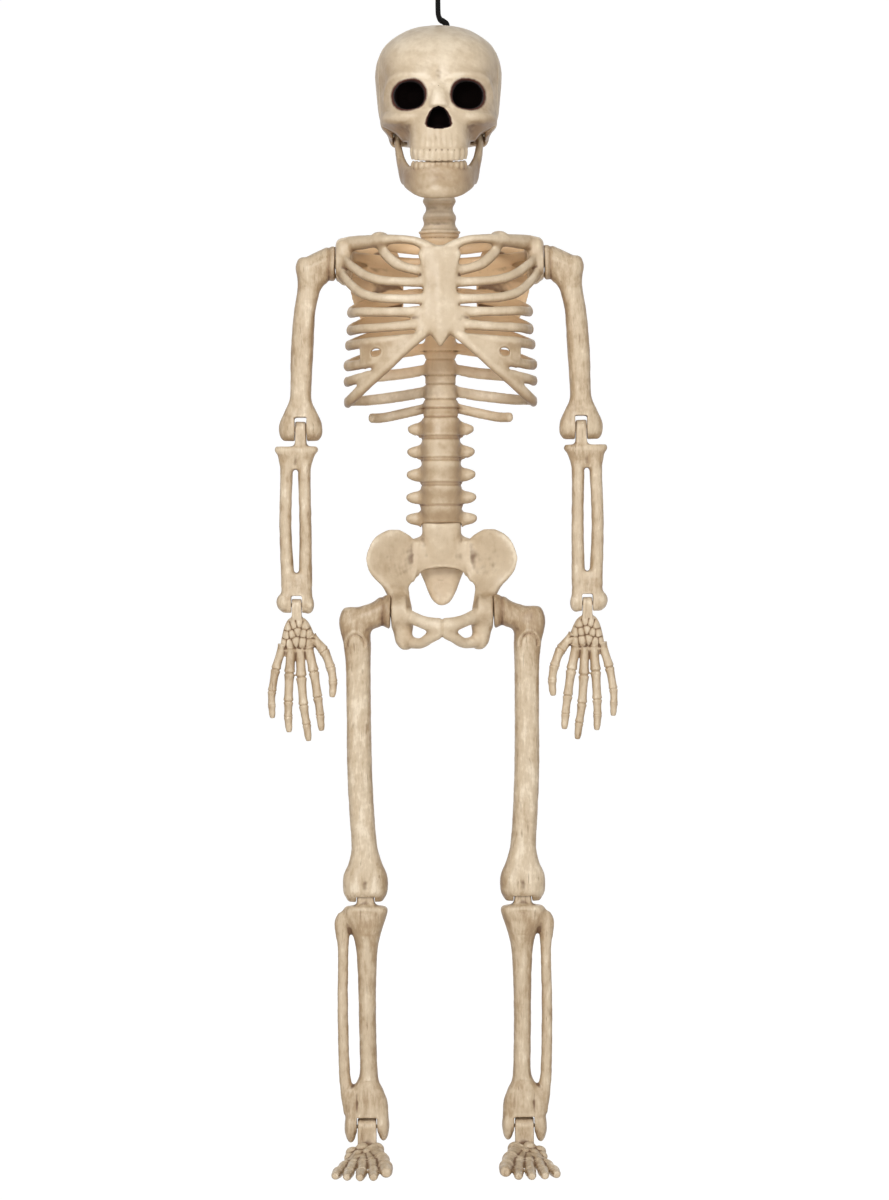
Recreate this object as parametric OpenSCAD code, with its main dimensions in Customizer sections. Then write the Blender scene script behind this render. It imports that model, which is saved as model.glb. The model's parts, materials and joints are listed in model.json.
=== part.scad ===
// Posable plastic skeleton figure that hangs from a cord, in millimetres.
// X runs to the figure's own left, the front faces -Y and Z is up.
// The origin is the top of the cord's loop, where it goes over a hook.

/* [Hanging cord] */
// Height of the loop's top above the crown
loop_height = 60; // [50:1:80]
// Thickness of the cord
cord_d = 4; // [3:0.1:4.5]
// Play of the cord in its holes, all round
cord_play = 0.6; // [0.4:0.1:1]
// Diameter of the knot inside the crown
knot_d = 15; // [13:0.5:17]

/* [Skull] */
// Width of the skull
skull_w = 98; // [90:1:106]
// Depth of the skull, brow to back
skull_d = 118; // [108:1:128]
// Height of the skull, crown to floor
skull_h = 92; // [86:1:98]
// Wall of the hollow skull
skull_wall = 2.6; // [2:0.1:3.2]
// Drop of the upper teeth below the skull's floor
face_drop = 17; // [15:0.5:19]
// Half width of the upper jaw
maxilla_r = 23; // [21:0.5:24]
// Distance between the eye sockets' middles
eye_span = 45; // [43:0.5:47]
// Width of an eye socket
eye_w = 27; // [24:0.5:29]
// Height of an eye socket
eye_h = 23.5; // [21:0.5:25]
// Width of the nose opening
nose_w = 19; // [16:0.5:21]
// Height of the nose opening
nose_h = 16; // [14:0.5:18]
// How far behind the middle the face shell meets the cranium shell, front is negative
seam_y = -12; // [-14:0.5:-10]

/* [Jaw] */
// How far the jaw's branches stand inside the skull's widest place
jaw_inset = 16.5; // [15:0.5:18]
// Thickness of a jaw branch
branch_t = 5; // [4:0.25:6]
// Height of the jaw from its teeth to the chin
jaw_h = 28; // [25:0.5:31]
// Gap between the two rows of teeth
mouth_gap = 2.2; // [1.5:0.1:3]
// Height of the jaw's hinge above the skull's floor
hinge_up = 7; // [6:0.5:8]
// Diameter of a jaw pin
jaw_pin_d = 3.2; // [2.6:0.1:4]

/* [Trunk] */
// Length of the neck, skull floor to collar bones
neck_len = 73; // [66:1:80]
// Thickness of the neck
neck_d = 23; // [21:0.5:25]
// Diameter of the neck's post in the skull's floor
post_d = 15; // [13:0.5:17]
// Width of the rib cage
chest_w = 148; // [140:1:154]
// Depth of the rib cage
chest_d = 80; // [76:1:86]
// Height of the rib cage, collar bones to the last rib
chest_h = 139; // [130:1:146]
// Length of the loin, last rib to sacrum
loin_len = 82; // [76:1:90]
// Thickness of the thoracic spine
spine_d = 24; // [22:0.5:26]
// Thickness of the loin spine
loin_d = 32; // [29:0.5:35]
// Reach of a side process from the middle of the loin
process_reach = 26; // [23:0.5:29]
// Height of a rib strap
rib_h = 7.2; // [6:0.2:8]
// Thickness of a rib strap
rib_t = 4.6; // [4:0.2:5.4]
// How far a shoulder joint face stands outside the rib cage
shoulder_out = 7.5; // [6:0.5:9]
// Height of the shoulder joint below the collar bones
shoulder_drop = 19; // [17:0.5:21]
// Diameter of the shoulder joint face
shoulder_d = 27; // [25:0.5:29]

/* [Pelvis] */
// Width of the hip wings
pelvis_w = 118; // [110:1:124]
// Height of the hip wings above the hip joint
wing_h = 64; // [60:0.5:68]
// How far the hip wings' crests lie below the top of the sacrum
wing_drop = 5; // [3:0.5:8]
// Height of the hip joint above the seat bones
seat_h = 29; // [27:0.5:31]
// Distance between the two hip joint faces
hip_span = 80; // [78:0.5:84]
// Diameter of the hip joint face
hip_d = 26; // [24:0.5:27]

/* [Arm] */
// Length of the upper arm, shoulder joint to elbow joint
upper_arm = 128; // [118:1:138]
// How far the elbow lies outside the shoulder joint face
elbow_out = 27.5; // [26:0.5:30]
// Thickness of the upper arm bone
humerus_d = 17; // [15:0.5:19]
// Width of the elbow
elbow_w = 34; // [32:0.5:37]
// Width of the elbow's tongue
elbow_tongue = 8.6; // [7.6:0.2:10]
// Length of the forearm, elbow joint to wrist joint
forearm = 137; // [127:1:147]
// How far the wrist lies outside the elbow
wrist_out = 4; // [3:0.5:6]
// Thickness of each forearm bone
forearm_bone_d = 9.8; // [8.6:0.2:10.6]
// Distance between the two forearm bones' middles
forearm_span = 14.6; // [13.6:0.2:16]
// Width of the wrist
wrist_w = 28; // [26:0.5:30]
// Width of the wrist's tongue
wrist_tongue = 7.6; // [6.8:0.2:8.6]
// Length of the hand, wrist joint to the middle finger's tip
hand_len = 106; // [98:1:114]
// Thickness of a finger
finger_d = 6.6; // [5.6:0.2:7.2]

/* [Leg] */
// Length of the thigh, hip joint to knee joint
thigh = 213; // [200:1:226]
// How far the knee lies outside the hip joint face
knee_out = 21; // [20:0.5:23]
// Thickness of the thigh bone
femur_d = 19.4; // [17.4:0.2:21]
// Width of the knee
knee_w = 35; // [33:0.5:38]
// Width of the knee's tongue
knee_tongue = 13.4; // [12:0.2:15]
// Length of the shin, knee joint to ankle joint
shin = 186; // [174:1:198]
// Thickness of the shin bone
tibia_d = 14; // [12.6:0.2:15]
// Thickness of the thin shin bone
fibula_d = 8.4; // [7.4:0.2:9.2]
// Distance between the two shin bones' middles
shin_span = 18; // [17:0.25:19.5]
// Width of the ankle
ankle_w = 34; // [32:0.5:37]
// Width of the ankle's tongue
ankle_tongue = 15; // [13.6:0.2:16.6]
// Length of the foot
foot_len = 108; // [100:1:116]
// Height of the ankle joint above the sole
ankle_h = 33; // [31:0.5:36]
// Angle by which the toes point outward
toe_out = 6; // [3:1:12]

/* [Joints] */
// Diameter of the hinge pins
pin_d = 3; // [2.4:0.1:3.6]
// Diameter of the shoulder and hip pegs
peg_d = 8; // [7:0.2:9]
// Play of a pin or peg in the bore that turns on it, all round
pin_play = 0.05; // [0.03:0.01:0.09]
// Gap between faces that move past each other
run_gap = 0.4; // [0.3:0.05:0.6]
// Depth of a peg in its limb
peg_seat = 11; // [9:0.5:13]
// Length of a peg in the trunk
peg_reach = 9.6; // [9:0.2:11]

/* [Hidden] */
bone = [0.86, 0.79, 0.68];
metal = [0.62, 0.62, 0.6];
black = [0.04, 0.04, 0.04];

crown_z = -loop_height;
floor_z = crown_z - skull_h;
chest_z = floor_z - neck_len;
loin_z = chest_z - chest_h;
sacrum_z = loin_z - loin_len;
hip_z = sacrum_z - wing_drop - wing_h;
shoulder_z = chest_z - shoulder_drop;
shoulder_x = chest_w / 2 + shoulder_out;
hip_x = hip_span / 2;
// The neck's post turns on this line behind the middle
neck_y = 10;
arm_y = 7;
leg_y = 0;
hinge_y = 2;
hinge_z = floor_z + hinge_up;
teeth_z = floor_z - face_drop;
jaw_top = teeth_z - mouth_gap;
branch_x = (skull_w - branch_t) / 2 - jaw_inset;
// Back half and front half of the trunk meet on this plane
half_y = -2;
pin_bore = pin_d + 2 * pin_play;
peg_bore = peg_d + 2 * pin_play;
head_d = peg_d + 6;
head_t = 3.2;
// Room round the pivots: how far the next bone's end stays from the pivot
elbow_reach = 14;
wrist_reach = 11.6;
knee_reach = 15;

// Point between p1 and p2 on the smooth curve through four stations
function between(p0, p1, p2, p3, t) =
    0.5 * (2 * p1 + (p2 - p0) * t + (2 * p0 - 5 * p1 + 4 * p2 - p3) * t * t
    + (3 * p1 - p0 - 3 * p2 + p3) * t * t * t);
// Smooth run of stations through the chosen ones
function smooth(keys, steps) = let (m = len(keys) - 1) concat(
    [for (i = [0 : m - 1]) for (s = [0 : steps - 1])
        between(keys[max(i - 1, 0)], keys[i], keys[i + 1], keys[min(i + 2, m)], s / steps)],
    [keys[m]]);
function unit(v) = v / norm(v);
function place(k) = [k[0], k[1], k[2]];
function squarer(c, p) = sign(c) * pow(abs(c), 2 / p);
function middle(ring) = [for (a = [0 : 2]) let (v = [for (q = ring) q[a]]) (min(v) + max(v)) / 2];
function flip(list) = [for (i = [len(list) - 1 : -1 : 0]) list[i]];

// Closed skin over rings of points that turn left round the way they go
module skin(rings) {
    n = len(rings[0]);
    m = len(rings);
    polyhedron(
        points = concat([for (r = rings) each r], [middle(rings[0]), middle(rings[m - 1])]),
        faces = concat(
            [for (i = [0 : m - 2]) for (j = [0 : n - 1]) let (a = i * n + j, b = i * n + (j + 1) % n)
                each [[a, b + n, b], [a, a + n, b + n]]],
            [for (j = [0 : n - 1]) [m * n, j, (j + 1) % n]],
            [for (j = [0 : n - 1]) let (e = (m - 1) * n) [m * n + 1, e + (j + 1) % n, e + j]]));
}
// Level ring about a station [x, y, z, half width, half depth, turn]
function level_ring(k, sides, p) = let (w = len(k) > 5 ? k[5] : 0)
    [for (i = [0 : sides - 1]) let (a = 360 * (i + 0.5) / sides,
        u = k[3] * squarer(cos(a), p), v = k[4] * squarer(sin(a), p))
        [k[0] + u * cos(w) - v * sin(w), k[1] + u * sin(w) + v * cos(w), k[2]]];
// Bone built of level rings
module loft(keys, sides = 12, steps = 2, p = 2) {
    run = smooth(keys, steps);
    skin([for (k = (run[0][2] > run[len(run) - 1][2] ? flip(run) : run)) level_ring(k, sides, p)]);
}
// Bone swept along a path of stations [x, y, z, half across, half along the up direction]
module sweep(keys, up, sides = 8, steps = 2, p = 2) {
    run = smooth(keys, steps);
    m = len(run) - 1;
    skin([for (i = [0 : m]) let (
        way = unit(place(run[min(i + 1, m)]) - place(run[max(i - 1, 0)])),
        across = unit(cross(up, way)),
        rise = cross(way, across))
        [for (j = [0 : sides - 1]) let (a = 360 * (j + 0.5) / sides)
            place(run[i]) + run[i][3] * squarer(cos(a), p) * across + run[i][4] * squarer(sin(a), p) * rise]]);
}
// Cylinder along X from x0 to x1
module rod(d, x0, x1) translate([x0, 0, 0]) rotate([0, 90, 0]) cylinder(d = d, h = x1 - x0);
module block(x0, x1, y0, y1, z0, z1) translate([x0, y0, z0]) cube([x1 - x0, y1 - y0, z1 - z0]);
module both() { children(); mirror([1, 0, 0]) children(); }
module on_side(s) { if (s > 0) children(); else mirror([1, 0, 0]) children(); }

// Skull: stations [depth below the crown, half width, front, back] of a 98 by 118 by 92 skull
skull_keys = [[0, 4, 0, 12], [3, 20, -18, 31], [8, 31, -31, 44], [16, 41, -42, 54], [26, 46.8, -48, 61],
    [36, 49, -51, 65], [44, 49, -52, 66], [54, 48.2, -51.5, 65.5], [64, 47.2, -52.5, 62],
    [72, 46, -54, 57], [79, 43.4, -54, 50], [86, 39.6, -52, 44], [92, 34, -48, 38]];
hollow_keys = [[0, 4, -1, 14], [3.4, 20, -18, 33], [9.4, 32, -31, 44], [17.4, 40.5, -40, 53], [27.4, 45, -44, 59],
    [37.4, 46, -44, 62], [46, 45.4, -30, 62], [58, 44.4, -27, 59], [67, 39, -23, 53], [76, 26, -17, 46], [78, 21, -14, 41]];
maxilla_keys = [[68, 1.1, -51, -20], [76, 1.32, -54.5, -18], [84, 1.26, -56.2, -18]];
function skull_station(k, drop = 0, tight = 0) = let (d = skull_d / 118)
    [0, (k[2] + k[3]) / 2 * d, crown_z - drop - k[0] * (skull_h - drop) / 92, k[1] * skull_w / 98 - tight, (k[3] - k[2]) / 2 * d - tight];
eye_z = crown_z - skull_h * 0.65;
nose_z = crown_z - skull_h * 0.85;
front_y = -56 * skull_d / 118;

module maxilla() {
    d = skull_d / 118;
    upper = [for (k = maxilla_keys) [0, (k[2] + k[3]) / 2 * d, crown_z - k[0] * skull_h / 92, k[1] * maxilla_r, (k[3] - k[2]) / 2 * d]];
    lower = [[0, -37.6 * d, floor_z, maxilla_r * 1.12, 19.5 * d], [0, -38.3 * d, floor_z - face_drop * 0.5, maxilla_r * 1.01, 19.2 * d],
        [0, -39.6 * d, teeth_z, maxilla_r * 0.93, 18 * d]];
    loft(concat(upper, lower), 18, 1, 2.6);
}
module eye_socket()
    sweep([[eye_span / 2 + 2, front_y - 20, eye_z, eye_w / 2 + 1, eye_h / 2 + 1], [eye_span / 2 + 0.5, front_y + 10, eye_z, eye_w / 2, eye_h / 2],
        [eye_span / 2 - 2, front_y + 19, eye_z, eye_w / 2 - 3, eye_h / 2 - 2.5], [eye_span / 2 - 3, front_y + 24, eye_z, 5, 4.5]],
        [0, 0, 1], 16, 1, 2.7);
module nose()
    translate([0, front_y + 13, nose_z]) rotate([90, 0, 0]) linear_extrude(height = 30)
        scale([nose_w / 19, nose_h / 16]) polygon([[-8.4, -8], [-3.4, -7], [0, -5.4], [3.4, -7], [8.4, -8], [9.5, -5.4],
            [7.6, 0.6], [4.6, 6.2], [1.6, 8], [-1.6, 8], [-4.6, 6.2], [-7.6, 0.6], [-9.5, -5.4]]);
module skull() {
    difference() {
        union() {
            loft([for (k = skull_keys) skull_station(k)], 32, 2, 2.25);
            maxilla();
        }
        loft([for (k = hollow_keys) skull_station(k, skull_wall, skull_wall - 2.6)], 24, 1, 2.2);
        both() {
            eye_socket();
            // Room for the jaw's branch under the cheekbone
            translate([0, seam_y, 0]) rotate([90, 0, 0]) linear_extrude(height = 90)
                polygon([[branch_x - branch_t / 2 - 3, floor_z - 40], [branch_x - branch_t / 2 - 3, floor_z - 4], [branch_x + 2, floor_z + 5],
                    [branch_x + 13, floor_z + 12], [90, floor_z + 12], [90, floor_z - 40]]);
            block(branch_x - branch_t / 2 - 3, branch_x + branch_t / 2 + 3, seam_y - 1, hinge_y + 9, floor_z - 40, floor_z + 13);
        }
        nose();
        translate([0, hinge_y, hinge_z]) rod(jaw_pin_d, -skull_w, skull_w);
        translate([0, neck_y, floor_z - 1]) cylinder(d = post_d + 2 * pin_play, h = 30);
        for (p = [cord_route[4], cord_route[len(cord_route) - 4]])
            translate([p[0], p[1], crown_z - 8]) cylinder(d = cord_d + 2 * cord_play, h = 12);
    }
}
module face_shell() color(bone) intersection() {
    skull();
    block(-skull_w, skull_w, -skull_d, seam_y, floor_z - skull_h, 0);
}
module cranium_shell() color(bone) intersection() {
    skull();
    block(-skull_w, skull_w, seam_y, skull_d, floor_z - skull_h, 0);
}

// Cord's route: knot, out of the front hole, bent to the middle, up, round the loop and down the back hole
cord_route = [for (p = [[3.4, 5.6, -10], [5, 4.2, -7.4], [6.9, 2.7, -4.4], [7, 2.6, -2], [7, 2.6, 0], [6.6, 2.7, 1.8], [4.6, 3.3, 3.6], [1.6, 4.3, 5.4],
    [0.2, 4.8, 10], [0, 4.9, 22], [0, 4.6, 36], [0, 2.2, 48], [0, 2.6, 54.4], [0, 7.4, 58], [0, 12.2, 54.4], [0, 12.6, 48],
    [0, 10.2, 36], [0, 9.9, 22], [0.2, 9.6, 10], [1.6, 10.1, 5.4], [4.6, 11.1, 3.6], [6.6, 11.7, 1.8],
    [7, 11.8, 0], [6.9, 11.7, -4.4], [5, 10.2, -7.4], [3.4, 8.8, -10]])
    [p[0], p[1], p[2] - 60]];
module hanging_cord() color(black)
    sweep([for (p = cord_route) [p[0], p[1], p[2], cord_d / 2, cord_d / 2]], [1, 0, 0], 8, 2);
module cord_knot() color(black)
    translate([2.4, 7.2, crown_z - skull_wall - run_gap - knot_d / 2]) sphere(d = knot_d);

// Jaw: a bow with the chin in front and a branch up to each hinge
module jaw() color(bone) {
    low = jaw_top - jaw_h;
    mid = (jaw_top + low) / 2;
    tall = jaw_h / 2;
    d = skull_d / 118;
    wide = branch_x - 2.5;
    bow = [[wide, -8, mid + 4.4, branch_t * 0.55, tall - 6.4], [wide - 0.8, -20 * d, mid + 3.8, branch_t * 0.62, tall - 5], [wide - 5, -35 * d, mid + 2.4, branch_t * 0.76, tall - 3.2],
        [wide - 14, -47 * d, mid + 0.8, branch_t * 0.88, tall - 1], [0, -51.6 * d, mid, branch_t * 0.94, tall]];
    difference() {
        union() {
            sweep(concat(bow, [for (i = [3 : -1 : 0]) [-bow[i][0], bow[i][1], bow[i][2], bow[i][3], bow[i][4]]]), [0, 0, 1], 12, 2, 3);
            both() {
                loft([[branch_x, hinge_y, hinge_z + 3, branch_t / 2 - 0.4, 3], [branch_x, hinge_y - 2, hinge_z - 8, branch_t / 2, 5.6],
                    [branch_x - 0.8, hinge_y - 6, hinge_z - 20, branch_t / 2, 8.6], [branch_x - 1.8, hinge_y - 9, jaw_top - 5, branch_t / 2, 10.4],
                    [branch_x - 2.4, hinge_y - 10, mid, branch_t / 2, 10], [branch_x - 2.6, hinge_y - 12, low + 10, branch_t / 2 - 0.6, 5]], 10, 1, 2.5);
                translate([0, hinge_y, hinge_z]) rod(10, branch_x - branch_t / 2, branch_x + branch_t / 2);
            }
        }
        translate([0, hinge_y, hinge_z]) rod(jaw_pin_d + 2 * pin_play, -skull_w, skull_w);
    }
}
module jaw_pin(s) color(bone) on_side(s)
    translate([0, hinge_y, hinge_z]) rod(jaw_pin_d, branch_x - branch_t / 2 - 9, branch_x + branch_t / 2 + 5);

// Neck fastener: the washer lies on the skull's floor, the screw holds it to the post
hollow_z = crown_z - skull_wall - 78 * (skull_h - skull_wall) / 92;
module neck_washer() color(metal) translate([0, neck_y, hollow_z + run_gap]) difference() {
    cylinder(d = post_d + 9, h = 1.6);
    translate([0, 0, -1]) cylinder(d = 4.2, h = 4);
}
module neck_screw() color(metal) translate([0, neck_y, hollow_z + run_gap]) {
    translate([0, 0, 1.6]) difference() {
        cylinder(d = 8, h = 2.6);
        translate([-4, -0.5, 1.4]) cube([8, 1, 2]);
    }
    translate([0, 0, -12]) cylinder(d = 4, h = 14);
}

// Ribs: stations [x, y, depth below the collar bones] from the breastbone round to the spine, for a 148 by 80 by 139 cage
ribs = [
    [[13, -32, 24], [33, -30.5, 19], [45, -20, 8], [48, -2, 1], [41, 16, 1], [25, 27, 2], [8, 27, 3]],
    [[12, -35, 36], [36, -34.5, 32], [56, -27, 23], [67, -10, 15], [66, 12, 11], [48, 32, 11], [26, 37, 13], [8, 34, 15]],
    [[12, -37, 48], [38, -37.5, 45], [60, -29, 38], [70, -8, 32], [68, 14, 27], [50, 34, 25], [26, 39, 26], [8, 35, 28]],
    [[12, -38, 60], [40, -38.5, 60], [60, -29, 59], [68.6, -8, 58.4], [67, 14, 54], [50, 35, 47], [26, 40, 42], [8, 36, 41]],
    [[11, -38.5, 69], [40, -39, 71.5], [60, -29, 72], [69, -8, 72], [67.6, 14, 68], [50, 35, 61], [26, 40, 56], [8, 36, 54]],
    [[20, -39, 80], [42, -37.5, 82], [59, -29, 83], [70, -9, 83.6], [69.4, 14, 81], [52, 35, 74], [27, 40, 69], [8, 36, 66]],
    [[38, -38, 97], [56, -30.5, 98.5], [70, -10, 99.6], [71.6, 12, 97], [54, 34, 90], [28, 39, 86], [8, 35, 83]],
    [[52, -33, 108], [65, -23, 110.4], [71.6, -8, 111.6], [71, 12, 110], [54, 33, 106], [28, 38, 103], [8, 34, 100]],
    [[7, -38.5, 71], [22, -40, 84], [39, -38, 99], [56, -30.5, 114], [67, -21, 124], [71.6, -8, 127.4], [70.4, 12, 126], [54, 31, 124], [28, 36, 120.5], [8, 32, 117]]];
last_rib = [[54, 20, 138.6], [44, 27, 138], [26, 32, 134], [8, 29, 130]];
function cage(q, h, t) = [q[0] * chest_w / 148, q[1] * chest_d / 80, -q[2] * chest_h / 139, t, h];
module rib(q, grow = 1) {
    run = [for (k = q) cage(k, rib_h / 2 * grow, rib_t / 2 * grow)];
    sweep(run, [0, 0, 1], 8, 2, 2.4);
}
module collar_bone() {
    sx = chest_w / 148;
    sy = chest_d / 80;
    sweep([[8 * sx, -33 * sy, -6, 4, 5], [26 * sx, -32 * sy, -4.6, 3.8, 4.6], [44 * sx, -24 * sy, -4, 3.8, 4.4], [58 * sx, -12 * sy, -3, 4.2, 4.6],
        [shoulder_x - 11, 0, -3, 5, 5], [shoulder_x - 6, arm_y, -6, 5, 6]], [0, 0, 1], 8, 2, 2.2);
}
module shoulder_block() {
    top = -1.4;
    translate([0, arm_y, -shoulder_drop]) rod(shoulder_d, shoulder_x - peg_reach - 3, shoulder_x - run_gap);
    loft([[shoulder_x - 7.4, arm_y, top, 4, 6], [shoulder_x - 7, arm_y, top - 3, 6.2, 9], [shoulder_x - 6.8, arm_y, -shoulder_drop, 6.4, 11]], 10, 1, 3);
}
module shoulder_blade() {
    sx = chest_w / 148;
    sy = chest_d / 80;
    sh = chest_h / 139;
    loft([[52 * sx, 39 * sy, -9 * sh, 13 * sx, 2.2, -10], [51 * sx, 40 * sy, -16 * sh, 20 * sx, 2.8, -10], [50 * sx, 41 * sy, -28 * sh, 22 * sx, 2.8, -10],
        [49 * sx, 42 * sy, -42 * sh, 21 * sx, 2.6, -9], [47 * sx, 42.6 * sy, -56 * sh, 18 * sx, 2.6, -8], [44 * sx, 43 * sy, -70 * sh, 12 * sx, 2.6, -6],
        [42 * sx, 42.6 * sy, -79 * sh, 4 * sx, 2, -6]], 14, 1, 2.6);
    // Spine of the blade, out to the shoulder
    sweep([[30 * sx, 43 * sy, -24 * sh, 2.6, 2.6], [50 * sx, 46 * sy, -18 * sh, 3.4, 3], [66 * sx, 36 * sy, -11, 4, 4], [shoulder_x - 8, arm_y + 8, -8, 4.6, 5]], [0, 0, 1], 8, 2);
}
module breastbone() {
    sy = chest_d / 80;
    sh = chest_h / 139;
    loft([[0, -32 * sy, -2 * sh, 15, 3], [0, -33 * sy, -6 * sh, 19, 4], [0, -34 * sy, -14 * sh, 17.6, 4.2], [0, -35.4 * sy, -25 * sh, 14, 4.2], [0, -37 * sy, -38 * sh, 13, 4],
        [0, -38.6 * sy, -52 * sh, 13.4, 4], [0, -39.4 * sy, -62 * sh, 13.6, 4], [0, -39.6 * sy, -70 * sh, 10.6, 3.8], [0, -39.8 * sy, -77 * sh, 5.6, 3.2], [0, -40 * sy, -83.6 * sh, 1.6, 1.6]], 14, 1, 2.4);
}
// Bars between the sixth and seventh rib beside the small oval hole, each by its x and its y above and below
web_bars = [[40, -38.4, -38.2], [57, -30.4, -30.4]];
module rib_web() {
    for (b = web_bars) sweep([for (i = [1, 2]) [b[0] * chest_w / 148, b[i] * chest_d / 80, (i == 1 ? -82 : -98) * chest_h / 139, 5, 2.2]], [0, 1, 0], 8, 1, 2.4);
}
module chest_front() color(bone) translate([0, 0, chest_z]) {
    intersection() {
        union() {
            breastbone();
            both() {
                for (q = ribs) rib(q);
                rib_web();
                collar_bone();
                shoulder_block();
            }
        }
        block(-chest_w, chest_w, -chest_d, half_y, -2 * chest_h, neck_len);
    }
}

// Spine: stations [middle y, height] down the column, rings swell at each vertebra
function ringed(z, pitch, swell) = 1 + swell * cos(360 * z / pitch);
neck_rings = 6;
loin_rings = 5;
module neck() {
    pitch = (neck_len - run_gap) / neck_rings;
    loft([for (i = [0 : neck_rings * 4]) let (f = i / neck_rings / 4, z = (neck_len - run_gap) * f)
        [0, neck_y + 15 * f * f * (3 - 2 * f), neck_len - run_gap - z, neck_d / 2 * (1 + 0.3 * pow(f, 8)) * ringed(z - pitch / 2, pitch, 0.055), neck_d / 2 * ringed(z - pitch / 2, pitch, 0.055)]], 14, 1);
}
module thoracic_spine()
    loft([[0, 25, 0.5, neck_d / 2 * 1.3, 12], [0, 28, -14, spine_d / 2, 11], [0, 33 * chest_d / 80, -36, spine_d / 2, 11], [0, 35 * chest_d / 80, -64, spine_d / 2, 11],
        [0, 34 * chest_d / 80, -86, spine_d / 2, 11], [0, 31 * chest_d / 80, -chest_h * 0.8, spine_d / 2, 11.4], [0, 26, -chest_h * 0.93, spine_d / 2 * 1.1, 12], [0, 22, -chest_h, loin_d / 2 * 0.92, 12.6]], 14, 2);
module loin_spine() {
    pitch = loin_len / (loin_rings - 0.4);
    loft([for (i = [0 : loin_rings * 4]) let (f = i / loin_rings / 4)
        [0, 22 - 6 * sin(180 * f), -chest_h - loin_len * f, loin_d / 2 * (0.95 + 0.1 * f) * ringed(loin_len * f, pitch, 0.05), 12.6 * ringed(loin_len * f, pitch, 0.05)]], 14, 1);
    both() for (i = [0 : loin_rings - 1]) let (z = -chest_h - pitch * (0.5 + i), r = process_reach * (1 + 0.02 * i), y = 24 - 6 * sin(36 * i))
        sweep([[4, y, z, 4, 7], [loin_d / 2 - 1, y + 1, z, 3.8, 6], [r - 4, y + 2, z + 0.4, 3.2, 4.2], [r - 1, y + 3, z + 0.6, 2.4, 2.8], [r, y + 3, z + 0.6, 1.2, 1.4]], [0, 0, 1], 8, 1);
}
module spine_and_back() color(bone) {
    difference() {
        translate([0, 0, chest_z]) union() {
            intersection() {
                both() {
                    for (q = ribs) rib(q);
                    shoulder_blade();
                    collar_bone();
                    shoulder_block();
                }
                block(-chest_w, chest_w, half_y, 2 * chest_d, -2 * chest_h, neck_len);
            }
            both() rib(last_rib, 0.86);
            neck();
            thoracic_spine();
            loin_spine();
        }
        both() translate([0, arm_y, shoulder_z]) peg_room(shoulder_x);
        translate([0, neck_y, hollow_z + run_gap - 12]) cylinder(d = 4, h = 40);
        // The loin ends flat on the sacrum
        block(-pelvis_w, pelvis_w, -chest_d, 2 * chest_d, sacrum_z - wing_h, sacrum_z);
    }
    difference() {
        translate([0, neck_y, floor_z - run_gap - 1]) cylinder(d = post_d, h = hollow_z - floor_z + 2 * run_gap + 1);
        translate([0, neck_y, hollow_z + run_gap - 12]) cylinder(d = 4, h = 40);
    }
}

// Peg that a limb turns on: its head sits in a pocket of the trunk
module peg(face_x) {
    rod(peg_d, face_x - peg_reach + head_t / 2, face_x + peg_seat);
    rod(head_d, face_x - peg_reach, face_x - peg_reach + head_t);
}
module peg_room(face_x) {
    rod(peg_bore, face_x - peg_reach, face_x + 1);
    rod(head_d + 2 * run_gap, face_x - peg_reach - run_gap, face_x - peg_reach + head_t + run_gap);
}
module shoulder_peg(s) color(bone) on_side(s) translate([0, arm_y, shoulder_z]) peg(shoulder_x);
module hip_peg(s) color(bone) on_side(s) translate([0, leg_y, hip_z]) peg(hip_x);

// Pelvis: wings from the sacrum out and forward, hip blocks, pubic and seat bones
back_plane = 30;
module wing() translate([0, 0, hip_z]) {
    x = pelvis_w / 118;
    h = wing_h / 64;
    loft([[38 * x, 10, wing_h, 5, 2.2, -32], [38 * x, 10, 59 * h, 15.5 * x, 3.2, -32], [36.6 * x, 11, 51 * h, 23 * x, 3.2, -33],
        [35.6 * x, 12, 42 * h, 27.4 * x, 3, -33], [34.6 * x, 12, 31 * h, 26.4 * x, 3.2, -32], [31.6 * x, 10, 21 * h, 21.6 * x, 4.6, -29],
        [hip_x - 9.4, 5, 14 * h, 9, 6.6, -20], [hip_x - 7.6, 2, 5, 6.8, 8, -8], [hip_x - 7.4, 0, -8, 6.6, 8.4, 0], [hip_x - 7.8, 0, -18, 7, 7.6, 0],
        [hip_x - 9, 0, -seat_h + 5, 8, 7, 0], [hip_x - 11, 0, -seat_h, 5, 4, 0]], 14, 1, 2.3);
}
module pelvis_front() color(bone) difference() {
    union() {
        difference() {
            union() {
                both() wing();
                sacrum_front();
            }
            block(-60, 60, back_plane, 90, sacrum_z - 46, sacrum_z + 1);
        }
        both() {
            translate([0, leg_y, hip_z]) rod(hip_d, hip_x - peg_reach - 2.4, hip_x - run_gap);
            pubis();
        }
    }
    both() translate([0, leg_y, hip_z]) peg_room(hip_x);
}
module sacrum_front() translate([0, 0, sacrum_z])
    loft([[0, 22, 0, 17, 10], [0, 22, -6, 20, 10], [0, 23, -16, 25, 9.4], [0, 25, -28, 24, 8], [0, 26, -36, 18, 6], [0, 27, -40, 13, 4]], 16, 1, 2.5);
module pubis() translate([0, 0, hip_z]) {
    sweep([[hip_x - 9, -3, -2, 6, 7], [20, -12, -6, 4.6, 5], [10, -18, -9.6, 5, 5.6], [-1, -20, -12, 5, 7.4]], [0, 0, 1], 8, 2);
    sweep([[-1, -20, -14, 4.6, 5.4], [8, -17, -19, 4, 4.8], [17, -9, -24.4, 4, 4.2], [27, -1, -seat_h + 6, 5, 5]], [0, 0, 1], 8, 2);
}
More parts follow.
